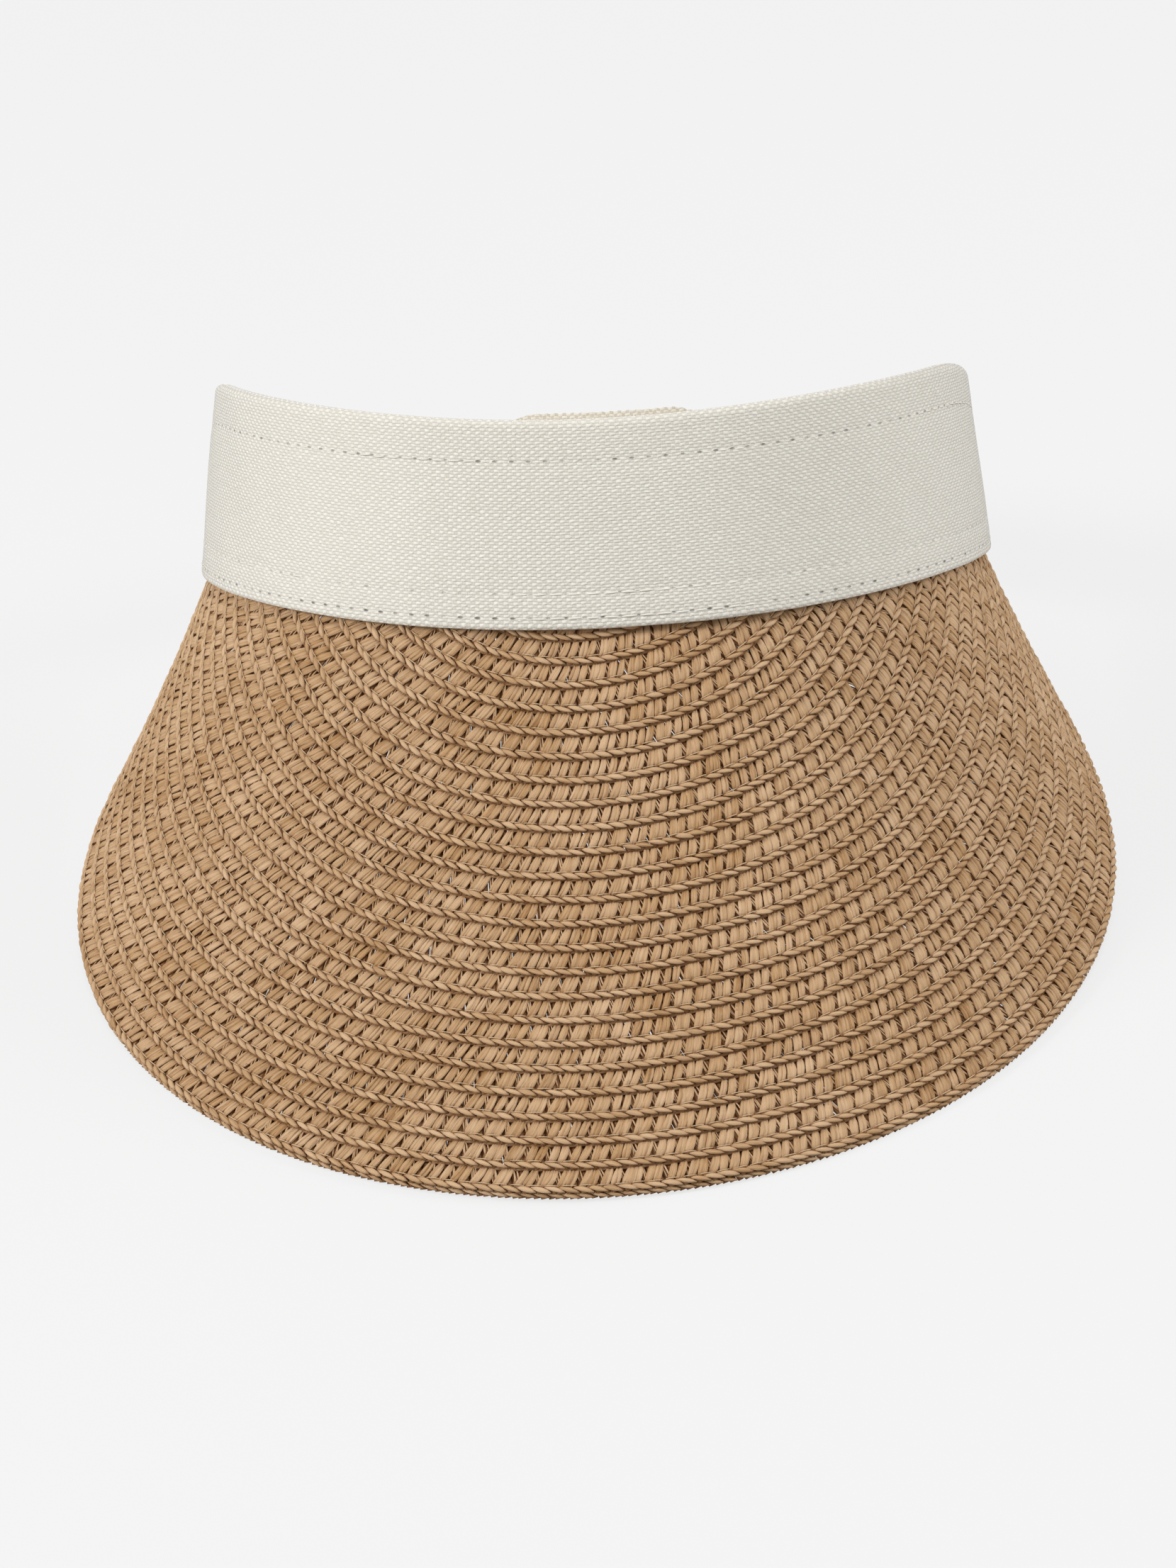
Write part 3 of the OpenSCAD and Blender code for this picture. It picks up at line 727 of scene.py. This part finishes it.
def braidLayers(half, wide, rng):
    c = braidCell

    def places(spacing):  # middles of equal steps along the row, and the step
        count = max(3, int(round(2 * half / spacing)))
        return (np.arange(count) + 0.5) * 2 * half / count - half, 2 * half / count

    def shake(u, size=c["jitter"]):
        return rng.uniform(-size, size, len(u))

    def pair(u, v):
        return np.stack([u, np.broadcast_to(v, u.shape)], -1)

    layers = []

    # Besides its random tone, a strand can be darkened all over with painted shade, and a share of
    # painted shade is set for its covered ends and flanks.
    def lay(kind, start, end, width, thick, lift, arch, bow, shade, depth=0.0, paintedShade=1.0):
        layer = layStrands(kind, pair(*start), pair(*end), width, thick, lift, arch, bow, -1)
        # painted shadow: the strip of the row that lies under the rope of the row above is darkened
        paintedShadow = smooth((c["shadowAt"] - layer["points"][:, :, 1]) / c["shadowFade"])
        layer["buried"] = np.maximum(layer["buried"] * paintedShade, paintedShadow)
        layer["shade"], layer["depth"] = np.clip(shade, 0, 1), depth
        layers.append(layer)

    centre, pitch = places(c["pitch"])
    cellShade = rng.uniform(0.25, 0.75, len(centre))
    for j in (-1, 1):  # two broad bundles a cell, each with two narrower strands on it
        u = centre + j * c["bundleApart"] + shake(centre)
        lean = c["lean"] + shake(centre, 0.4)
        foot = wide - c["bundleFoot"]
        bow = -0.14 + shake(centre, 0.14)
        fat = rng.uniform(0.84, 1.12, len(centre))
        lay("fieldStrand", (u + lean / 2, c["bundleTop"]), (u - lean / 2, foot),
            c["ribbonWidth"] * fat, c["ribbonThick"], c["ribbonLift"] + shake(u, 0.05),
            c["bundleArch"] + shake(u, 0.08), bow, cellShade + shake(u))
        for k in (-1, 1):
            v = u + k * c["overApart"] + shake(u, 0.12)
            lay("fieldStrand", (v + lean / 2 + shake(u, 0.15), c["bundleTop"] + shake(u)),
                (v - lean / 2 + shake(u, 0.22), foot - 0.05 + shake(u, 0.15)),
                c["overWidth"] * rng.uniform(0.7, 1.2, len(u)), c["overThick"],
                c["overLift"] + shake(u, 0.09), c["bundleArch"] + shake(u, 0.1), bow,
                cellShade + shake(u, 0.3))
    for j in (-1, 0, 1):  # thin strands that cross the other way, between two pairs of bundles
        u = centre + pitch / 2 + j * c["crossApart"] + shake(centre, 0.14)
        lay("fieldStrand", (u - c["crossLean"] / 2 + shake(u, 0.2), c["bundleTop"]),
            (u + c["crossLean"] / 2 + shake(u, 0.2), wide - c["crossFoot"] + shake(u, 0.5)),
            c["crossWidth"] * rng.uniform(0.7, 1.25, len(u)), c["crossThick"],
            c["crossLift"] + shake(u, 0.1), 0.22 + shake(u, 0.1), shake(u),
            rng.uniform(0.4, 1.0, len(u)), c["crossPaintedShade"])
    # the backing is darkened with painted shade, as it lies behind the bundles
    for j in (-1, 0, 1):  # broad flat strands behind, that close the row
        u = centre + pitch / 2 + j * pitch / 3
        lay("backStrand", (u - c["backLean"] + shake(u), c["backEdge"]),
            (u + c["backLean"] + shake(u), wide - c["backEdge"]),
            c["backWidth"] * rng.uniform(0.86, 1.1, len(u)), c["backThick"],
            c["backLift"] + shake(u, 0.05), 0.0, shake(u, 0.15),
            rng.uniform(0.0, 0.6, len(u)), c["backPaintedShade"])
    # the rope leaves take part of the painted shade on their covered ends and flanks
    u, step = places(c["leafPitch"])  # the rope: one fat leaf twisted over the next
    reach = c["leafReach"] * step
    lay("ropeLeaf", (u - reach + shake(u), wide - c["ropeIn"] + shake(u, 0.07)),
        (u + reach + shake(u), wide - c["ropeOut"] + shake(u, 0.07)),
        c["ropeWidth"] * rng.uniform(0.84, 1.12, len(u)), c["ropeThick"],
        c["ropeLift"] + shake(u, 0.05), c["ropeArch"] + shake(u, 0.08), shake(u, 0.08),
        rng.uniform(0.35, 1.0, len(u)), paintedShade=c["ropePaintedShade"])
    # the thick inner strand gets painted shade, which shows as a dark line below the rope of the row
    # above
    lay("backStrand", (centre - 0.62 * pitch, 0.94), (centre + 0.66 * pitch, 0.42),
        c["innerWidth"], c["innerThick"], c["innerLift"], 0.0, shake(centre, 0.05),
        rng.uniform(0.1, 0.8, len(centre)), c["innerPaintedShade"])
    return layers


rowRadii = {k: rimRadius - braid["facingShow"] - (braid["rows"] - k) * braid["pitch"]
            for k in range(1, braid["rows"] + 1)}
for k, radius in rowRadii.items():
    rng = np.random.default_rng(100 + k)
    middle = radius - braid["width"] * 0.4
    half = rowSpan(middle) * middle
    place = braidPlacer(radius, braid["width"], braid["top"], middle)
    row = strandPiece(f"braidRow{k:02d}", braidLayers(half, braid["width"], rng), place, rng)
    finishPiece(row, strawBraid, "visor", [f"braid_row_{k:02d}"])
rng = np.random.default_rng(140)
facingWidth = braid["width"] - braid["facingIn"] + braid["facingShow"]
facingTop = (braid["top"] - braid["thick"] - braid["gap"]
             + braid["drop"] * braid["facingShow"] / braid["width"])
middle = rimRadius - facingWidth * 0.4
facing = strandPiece("edgeFacingBraid",
                     braidLayers((rowSpan(middle) - 0.03) * middle, facingWidth, rng),
                     braidPlacer(rimRadius, facingWidth, facingTop, middle), rng)
finishPiece(facing, strawBraid, "visor", ["edge_facing_braid"])
print("braid rows laid", len(rowRadii))

# The seam on each row: one running stitch after another, just above the rope
rng = np.random.default_rng(7)
layers = []
for k, radius in rowRadii.items():
    middle = radius - stitching["rowInset"]
    if middle - brim["circleCentre"] < stitching["crownClear"]:
        continue
    half = (rowSpan(middle) - stitching["rowEnds"] / middle) * middle
    count = int(2 * half / stitching["rowPitch"])
    at = np.linspace(-half, half, count + 1)
    across = braid["width"] - stitching["rowInset"] + rng.uniform(-0.08, 0.08, (count, 2))
    layer = layStrands("stitch", np.stack([at[:-1] + stitching["halfHole"], across[:, 0]], -1),
                       np.stack([at[1:] - stitching["halfHole"], across[:, 1]], -1),
                       stitching["rowThread"], stitching["rowThread"], 0.30, 0.26, 0.0, -1)
    layers.append(laidOn(layer, braidPlacer(radius, braid["width"], braid["top"], middle)))
seams = strandPiece("brimSeams", layers, lambda p: p, rng)
finishPiece(seams, strawThread, "visor", ["brim_seam_threads"])
print("brim seams sewn")


# Cloth: cut flat as a grid, folded and wrapped round the ring, then given its thickness
clothThick = {"front": 0.74, "tail": 0.72, "tab": 0.74, "sweatband": 0.85, "lining": 0.55,
              "stiffener": 0.7, "loops": 0.5, "hookBase": 0.3}
faceAt = {"lining": -1.17, "tabLining": -0.3, "stiffener": -0.385, "loops": 1.27, "hookBase": 2.62,
          "hooks": 2.50, "loopSewing": -1.40}  # how far out from the ring's line each layer lies
joinGap = 0.03  # degrees that a canvas stops short of its hinge
foldAngle = 60  # a sharper turn than this keeps a hard edge


def wrapCloth(name, tFrom, tTo, columns, profile, thickness, ripple=None):
    t = np.linspace(tFrom, tTo, columns)
    n, z = profile(t)  # each is rows by columns
    rows = len(n)
    steps = np.hypot(np.diff(n, axis=0), np.diff(z, axis=0))
    path = np.concatenate([0 * n[:1], np.cumsum(steps, axis=0)])
    if ripple is not None:
        dn, dz = ripple(t[None, :], z, n)
        n, z = n + dn, z + dz
    deselect()
    bpy.ops.mesh.primitive_grid_add(x_subdivisions=columns - 1, y_subdivisions=rows - 1, size=1.0)
    obj = bpy.context.object
    obj.name = name
    flat = coordinates(obj)
    i = np.rint((flat[:, 0] + 0.5) * (columns - 1)).astype(int)
    j = np.rint((flat[:, 1] + 0.5) * (rows - 1)).astype(int)
    moveVertices(obj, bandPoint(t[i], n[j, i], z[j, i]))
    for layer in list(obj.data.uv_layers):
        obj.data.uv_layers.remove(layer)
    setMap(obj, np.stack([along(t[i]), path[j, i] + 40.0], -1))
    setAttribute(obj, "fromLow", z[j, i])
    setAttribute(obj, "fromTop", bandHeight(t[i]) - z[j, i])
    applyModifier(obj, "SOLIDIFY", thickness=thickness / 1000, offset=0.0, use_even_offset=False)
    area = float((along(tTo) - along(tFrom)) * path[-1].mean()) / 1e6
    return obj, (float(along(tTo) - along(tFrom)) / 1000, float(path[-1].max()) / 1000, area)


def foldedProfile(t, lowHem, topHem, lowRadius, topRadius, faceRows, outer, inset=0.0, hemRows=5):
    h, c = bandHeight(t), band["cloth"] / 2
    r, q = lowRadius + 0 * t, topRadius + 0 * t
    folds = [(outer - 2 * r, lowHem + (c + r - lowHem) * v)
             for v in np.linspace(0, 1, hemRows + 1)[:-1]]
    folds += [(outer - r - r * math.cos(a), c + r - r * math.sin(a))
              for a in np.linspace(0, math.pi, 7)]
    folds += [(outer + 0 * t, c + r + (h - 2 * c - q - r) * v)
              for v in np.linspace(0, 1, faceRows + 1)[1:-1]]
    folds += [(outer - q + q * math.cos(a), h - c - q + q * math.sin(a))
              for a in np.linspace(0, math.pi, 9)]
    folds += [(outer - 2 * q, h - c - q - (topHem - c - q) * v)
              for v in np.linspace(0, 1, hemRows + 1)[1:]]
    n, z = (np.array([np.broadcast_to(v, t.shape) for v in column]) for column in zip(*folds))
    return n, inset + z * (h - 2 * inset) / h


def cornerInset(t, end, radius=4.0):  # how far a rounded end has drawn in from each long edge
    d = np.clip(np.abs(along(t) - along(end)), 0, radius)
    return radius - np.sqrt(np.maximum(radius ** 2 - (radius - d) ** 2, 0))


def seamRipple(lines):
    def ripple(t, z, n):
        h, u = bandHeight(t), along(t)
        dn = (0.16 * np.sin(u * 0.061 + 0.7) * np.sin(z * 0.13 + u * 0.02)
              + 0.05 * np.sin(u * 0.31 + z * 0.2))
        for side, at, pitch, _ in lines:
            off = (h - z if side == "top" else z) - at
            pull = 0.6 + 0.4 * np.cos(2 * np.pi * (u / pitch - 0.5))
            dn = dn - 0.20 * pull * np.exp(-(off / 1.1) ** 2)
        front = (np.sign(n) > 0) * 1.0
        return dn * front, 0.16 * np.sin(u * 0.045 + 1.0) * smooth(z / h)
    return ripple


clothOuter = band["clothInner"] + band["cloth"] / 2
flexAt, peelAt, tabEnd, innerEnd = (closure[k] for k in ("flexAt", "peelAt", "tabEnd", "innerEnd"))
front, frontCut = wrapCloth(
    "frontCanvas", -flexAt + joinGap, flexAt - joinGap, 290,
    lambda t: foldedProfile(t, 8.0, 10.0, 0.42, 1.05, 36, clothOuter), clothThick["front"],
    seamRipple(frontLines))
finishPiece(front, canvasCloth, "visor", ["front_canvas"], foldAngle)
print("front canvas folded", [round(v, 4) for v in frontCut])

sweat = {
    "ribPitch": 2.1, "ribDepth": 0.13, "scallop": 0.30, "lowN": -3.91, "topN": -2.6, "low": 1.1,
    "below": 1.15, "turnAt": 8.5, "turnOver": 6.5, "bumpAt": 6.0, "bumpHalf": 16.0, "bumpFade": 6.0,
    "peek": 1.0,
}


def sweatProfile(t):
    top = bandHeight(t) - sweat["below"] + (1 + sweat["peek"]) * smooth(
        (sweat["bumpHalf"] - np.abs(t - sweat["bumpAt"])) / sweat["bumpFade"])
    z = sweat["low"] + (top - sweat["low"]) * np.linspace(0, 1, 26)[:, None]
    turned = smooth((z - sweat["turnAt"]) / sweat["turnOver"])
    return sweat["lowN"] + (sweat["topN"] - sweat["lowN"]) * turned, z


def sweatRipple(t, z, n):
    u, h = along(t), bandHeight(t)
    rib = np.abs(np.sin(np.pi * u / sweat["ribPitch"]))
    edge = smooth((z - h + 4) / 4)
    return sweat["ribDepth"] * (rib - 0.5) * (1 + 0 * z), edge * sweat["scallop"] * (rib - 0.6)


sweatband, sweatCut = wrapCloth("sweatbandCloth", -flexAt + 0.1, flexAt - 0.1, 760, sweatProfile,
                                clothThick["sweatband"], sweatRipple)
finishPiece(sweatband, sweatCloth, "visor", ["sweatband"], foldAngle)


# The tails: canvas folded in along both long edges, a stiffener, and a lining
def hingeSpan(t, direction, n):
    z = bandHeight(np.array(t)) / 2
    a = bandPoint(np.array(t), np.array(n), z)
    b = bandPoint(np.array(t + direction * 0.5), np.array(n), z)
    run = (b - a) / np.linalg.norm(b - a) * closure["bendSpan"] / 1000
    return tuple(float(v) for v in a), tuple(float(v) for v in a + run)


innerBend = ("visor", "inner_tail", *hingeSpan(-flexAt, -1, -0.4))
outerBend = ("visor", "outer_tail", *hingeSpan(flexAt, 1, 0.4))
tabBend = ("outer_tail", "closure_tab", *hingeSpan(peelAt, 1, 0.5 + closure["tabShift"]))
tailRipple = seamRipple(tailLines)


def liningRise(t):
    span = closure["shiftEnd"] - closure["stiffenerEnd"]
    return np.where(t > 0, 0.87 * smooth((t - closure["stiffenerEnd"]) / span), 0)


def tailCanvas(name, tFrom, tTo, columns, end, bend, node):
    def profile(t):
        radius = 0.46 - 0.30 * liningRise(t)
        inset = cornerInset(t, end) if end is not None else 0.0
        return foldedProfile(t, 3.5, 3.5, radius, radius, 24, clothOuter + tailShift(t), inset, 3)
    obj, cut = wrapCloth(name, tFrom, tTo, columns, profile, clothThick["tail"], tailRipple)
    finishPiece(obj, tailCloth, bend, [node], foldAngle)
    return obj, cut


def held(value):
    return lambda t: value + 0 * t


def belowTop(value):
    return lambda t: bandHeight(t) - value


def strip(name, tFrom, tTo, columns, face, lowAt, highAt, thickness, material, bend, nodes,
          end=None, rows=16, ripple=None):
    def profile(t):
        inset = cornerInset(t, end) if end is not None else 0.0
        low, high = lowAt(t) + inset, highAt(t) - inset
        v = np.linspace(0, 1, rows)[:, None]
        return face(t)[None, :] + 0 * v, low[None, :] + (high - low)[None, :] * v
    obj, cut = wrapCloth(name, tFrom, tTo, columns, profile, thickness, ripple)
    finishPiece(obj, material, bend, nodes, foldAngle)
    return obj, cut


innerCanvas, innerCut = tailCanvas("innerTailCanvas", -innerEnd, -flexAt - joinGap, 72, -innerEnd,
                                   innerBend, "inner_tail_canvas")
outerCanvas, outerCut = tailCanvas("outerTailCanvas", flexAt + joinGap, peelAt - joinGap, 56, None,
                                   outerBend, "outer_tail_canvas")


def tabProfile(t):
    h, inset = bandHeight(t), cornerInset(t, tabEnd)
    v = np.linspace(0, 1, 30)[:, None]
    curl = 0.28 * np.exp(-(np.minimum(v, 1 - v) * h / 0.9) ** 1.5)
    low = 0.3 + inset
    return clothOuter + tailShift(t)[None, :] - curl, low + (h - 2 * low) * v


tabCanvas, tabCut = wrapCloth("closureTabCanvas", peelAt + joinGap, tabEnd, 50, tabProfile,
                              clothThick["tab"], tailRipple)
finishPiece(tabCanvas, tailCloth, tabBend, ["closure_tab_canvas"], foldAngle)

edgeIn, stiffenerIn = 0.5, 4.2
linings = [
    strip(f"{part}Lining", tFrom, tTo, columns, face, held(edgeIn), belowTop(edgeIn),
          clothThick["lining"], liningCloth, bend, [node], end)
    for part, node, tFrom, tTo, columns, face, bend, end in (
        ("innerTail", "inner_tail_lining", -innerEnd + 0.25, -flexAt - 0.05, 60,
         held(faceAt["lining"]), innerBend, -innerEnd),
        ("outerTail", "outer_tail_lining", flexAt + 0.05, peelAt - 0.05, 48,
         lambda t: faceAt["lining"] + tailShift(t) + liningRise(t), outerBend, None),
        ("closureTab", "closure_tab_lining", peelAt + 0.05, tabEnd - 0.25, 36,
         lambda t: faceAt["tabLining"] + tailShift(t), tabBend, tabEnd))]
for name, node, tFrom, tTo, bend in (
        ("innerTailStiffener", "inner_tail_stiffener", -innerEnd + 1, -flexAt - 0.1, innerBend),
        ("outerTailStiffener", "outer_tail_stiffener", flexAt + 0.1, closure["stiffenerEnd"],
         outerBend)):
    strip(name, tFrom, tTo, 40, lambda t: faceAt["stiffener"] + tailShift(t), held(stiffenerIn),
          belowTop(stiffenerIn), clothThick["stiffener"], stiffFelt, bend, [node], rows=8)
print("tails folded", [round(v, 4) for v in innerCut + outerCut + tabCut])


# The closure: soft loops on the inner tail, small hooks on the tab
def patchLow(t):
    return (bandHeight(t) - closure["patchHeight"]) / 2


def patchTop(t):
    return patchLow(t) + closure["patchHeight"]


def pileRipple(t, z, n):
    u = along(t)
    loops = (np.abs(np.sin(u * 2.4 + 0.8 * np.sin(z * 1.7)))
             * np.abs(np.sin(z * 2.6 + 0.9 * np.sin(u * 1.3))))
    return 0.30 * loops + 0.05 * np.sin(u * 7.1 + z * 5.3), 0 * z * u


tailSpeed = float(speed(180.0))
loopFrom = closure["patchInset"] / tailSpeed - innerEnd
loopTo = closure["patchInset"] / tailSpeed + tabEnd - 360 + 2 * closure["patchInset"]
strip("loopPatch", loopFrom, loopTo, 190, held(faceAt["loops"]), patchLow, patchTop,
      clothThick["loops"], loopPile, "inner_tail", ["loop_patch"], rows=64, ripple=pileRipple)
hookFrom, hookTo = closure["hookFrom"], tabEnd - closure["patchInset"] / tailSpeed
strip("hookPatchBase", hookFrom, hookTo, 40, held(faceAt["hookBase"]), patchLow, patchTop,
      clothThick["hookBase"], hookNylon, "closure_tab", [])
rng = np.random.default_rng(31)
hookRows = {"count": 12, "pitch": 1.5, "start": 1.4, "apart": 1.56}
starts = np.array([
    (u + (row % 2) * hookRows["pitch"] / 2, row) for row in range(hookRows["count"])
    for u in np.arange(float(along(hookFrom)) + 1.0, float(along(hookTo)) - 2.0, hookRows["pitch"])])
level = patchLow(angleAt(starts[:, 0])) + hookRows["start"] + starts[:, 1] * hookRows["apart"]
begin = np.stack([starts[:, 0], level], -1)
finish = begin + np.stack([rng.uniform(0.55, 0.75, len(begin)),
                           rng.uniform(-0.12, 0.12, len(begin))], -1)
hooks = strandPiece("hookPatchHooks",
                    [layStrands("stitch", begin, finish, 0.2, 0.2, 0.0, 0.36, 0.0, -1)],
                    lambda p: bandPoint(angleAt(p[:, 0]), faceAt["hooks"] - p[:, 2], p[:, 1]), rng)
finishPiece(hooks, hookNylon, "closure_tab", ["hook_patch"])
print("closure patches made", len(starts))


# Sewing on the band: stitches run between the needle holes of each line
def sewLine(tFrom, tTo, face, level, pitch, side, rng):
    first = math.ceil(float(along(tFrom)) / pitch - 0.5)
    last = math.floor(float(along(tTo)) / pitch - 0.5)
    holes = (np.arange(first, last + 1) + 0.5) * pitch
    a, b = holes[:-1] + stitching["halfHole"], holes[1:] - stitching["halfHole"]
    start = np.stack([a, level(angleAt(a)) + rng.uniform(-0.10, 0.04, len(a))], -1)
    end = np.stack([b, level(angleAt(b)) + rng.uniform(-0.04, 0.10, len(a))], -1)
    layer = layStrands("stitch", start, end, stitching["thread"], 0.26, -0.10, 0.24,
                       rng.uniform(-0.06, 0.06, len(a)), side)

    def place(p):
        t = angleAt(p[:, 0])
        return bandPoint(t, face(t) + side * p[:, 2], p[:, 1])
    return laidOn(layer, place)


def sewPiece(part, nodePart, tFrom, tTo, face, levels, pitch, side, body, seed):
    rng = np.random.default_rng(seed)
    layers = [sewLine(tFrom, tTo, face, level, pitch, side, rng) for level in levels]
    obj = strandPiece(f"{part}Stitching", layers, lambda p: p, rng)
    finishPiece(obj, canvasThread, body, [f"{nodePart}_stitching"])


frontFace = band["clothInner"] + clothThick["front"] - 0.18
for part, level, seed in (("top", belowTop(stitching["top"]), 51), ("hem", held(stitching["hem"]), 52),
                          ("edge", held(stitching["edge"]), 53)):
    sewPiece(part, part, -flexAt + 0.6, flexAt - 0.6, held(frontFace), [level], stitching["pitch"], 1,
             "visor", seed)


def tailFace(t):
    return clothOuter + clothThick["tab"] / 2 - 0.17 + tailShift(t)


tailLevels = [held(stitching["tailInset"]), belowTop(stitching["tailInset"])]
patchLevels = [lambda t: patchLow(t) + stitching["patchInset"],
               lambda t: patchTop(t) - stitching["patchInset"]]
for part, nodePart, tFrom, tTo, face, levels, side, body, seed in (
        ("innerTail", "inner_tail", -innerEnd + 2.5, -flexAt - 0.8, tailFace, tailLevels, 1,
         innerBend, 54),
        ("outerTail", "outer_tail", flexAt + 0.8, peelAt - 0.5, tailFace, tailLevels, 1, outerBend, 55),
        ("closureTab", "closure_tab", peelAt + 0.5, tabEnd - 2.5, tailFace, tailLevels, 1, tabBend, 56),
        ("loopPatch", "loop_patch", loopFrom, loopTo, held(faceAt["loopSewing"]), patchLevels, -1,
         "inner_tail", 57),
        ("hookPatch", "hook_patch", hookFrom, hookTo - 0.5, tailFace, patchLevels, 1,
         "closure_tab", 58)):
    sewPiece(part, nodePart, tFrom, tTo, face, levels, stitching["tailPitch"], side, body, seed)
print("band sewn")

# The stiffener inside the band keeps its own shape
stiffener = frame["nodes"]["band_stiffener"]
stiffener.data.materials.clear()
stiffener.data.materials.append(stiffFelt)

# Cloth pieces and the flat sizes that they were cut to
for obj, cut, rests in (
        (front, frontCut, ["band_stiffener"]), (sweatband, sweatCut, ["frontCanvas"]),
        (innerCanvas, innerCut, ["innerTailStiffener"]),
        (outerCanvas, outerCut, ["outerTailStiffener"]),
        (tabCanvas, tabCut, ["closureTabLining"]), (*linings[0], ["innerTailCanvas"]),
        (*linings[1], ["outerTailCanvas"]), (*linings[2], ["closureTabCanvas"])):
    print("cloth", obj.name, [round(v * 1000, 1) for v in cut[:2]])

# Floor, light and camera
studio = {
    "floorSize": 6.0, "floorShade": 0.14, "floorGlow": 0.745, "floorFill": 0.30, "skyShade": 0.42,
    "skySeen": 0.88, "lightAim": (0, 0, 0.05),
    "keyLight": ((-1.6, -0.7, 1.1), 25.0, 0.8),  # place, power, size
    "topLight": ((0.1, -0.5, 1.9), 8.3, 0.7),
    "fillLight": ((1.7, 0.1, 0.9), 15.5, 0.9),
}
deselect()
bpy.ops.mesh.primitive_plane_add(size=studio["floorSize"], location=(0, 0, 0))
floor = bpy.context.object
floor.name = "paleFloor"
floorPale, floorTree, floorShader = startMaterial("floorPale", 1.0, 0.0, 0.0)
grain = floorTree.noise(floorTree.places()[1], 3.0)
g = studio["floorShade"]
floorTree.link(floorTree.colourBlend(grain, (g, g, g, 1), (g * 1.02, g * 1.02, g * 1.02, 1)),
               floorShader.inputs["Base Color"])
floorShader.inputs["Emission Color"].default_value = (1, 1, 1, 1)
seen = floorTree.node("ShaderNodeLightPath").outputs["Is Camera Ray"]
floorTree.link(floorTree.blend(seen, studio["floorFill"], studio["floorGlow"]),
               floorShader.inputs["Emission Strength"])
floor.data.materials.append(floorPale)

world = bpy.data.worlds.new("softStudio")
world.use_nodes = True
background = world.node_tree.nodes["Background"].inputs
background[0].default_value = (1, 1, 1, 1)
worldTree = Tree(world.node_tree)
seen = worldTree.node("ShaderNodeLightPath").outputs["Is Camera Ray"]
worldTree.link(worldTree.blend(seen, studio["skyShade"], studio["skySeen"]), background[1])
bpy.context.scene.world = world

for name in ("keyLight", "topLight", "fillLight"):
    place, power, size = studio[name]
    light = bpy.data.lights.new(name, "AREA")
    light.shape, light.size, light.energy = "DISK", size, power
    obj = addObject(name, light)
    obj.location = place
    aim = Vector(place) - Vector(studio["lightAim"])
    obj.rotation_euler = aim.to_track_quat("Z", "Y").to_euler()

view = {"target": (0, -60, -30), "distance": 1114.8, "elevation": 7.128, "azimuth": 4.109,
        "roll": -1.86, "lens": 158.9, "sensor": 36.0, "shiftX": 0.0037, "shiftY": -0.0263}
e, az, roll = (math.radians(view[k]) for k in ("elevation", "azimuth", "roll"))
back = np.array([math.sin(az) * math.cos(e), -math.cos(az) * math.cos(e), math.sin(e)])
right = np.array([math.cos(az), math.sin(az), 0])
up = np.cross(back, right)
right, up = right * math.cos(roll) + up * math.sin(roll), up * math.cos(roll) - right * math.sin(roll)
eye = np.array(view["target"]) + back * view["distance"]
origin = placed(np.zeros(3))
axes = [placed(v) - origin for v in (right, up, back)]
axes = [Vector(v / np.linalg.norm(v)) for v in axes]
cameraData = bpy.data.cameras.new("camera")
cameraData.sensor_fit, cameraData.sensor_width = "HORIZONTAL", view["sensor"]
cameraData.lens = view["lens"]
cameraData.shift_x, cameraData.shift_y = view["shiftX"], view["shiftY"]
cameraData.clip_start, cameraData.clip_end = 0.05, 20
camera = addObject("camera", cameraData)
camera.matrix_world = Matrix.Translation(Vector(placed(eye))) @ Matrix(
    [[axes[c][r] for c in range(3)] for r in range(3)]).to_4x4()
bpy.context.scene.camera = camera
bpy.context.scene.view_settings.view_transform = "Standard"
bpy.context.scene.view_settings.look = "None"

print("scene ready")
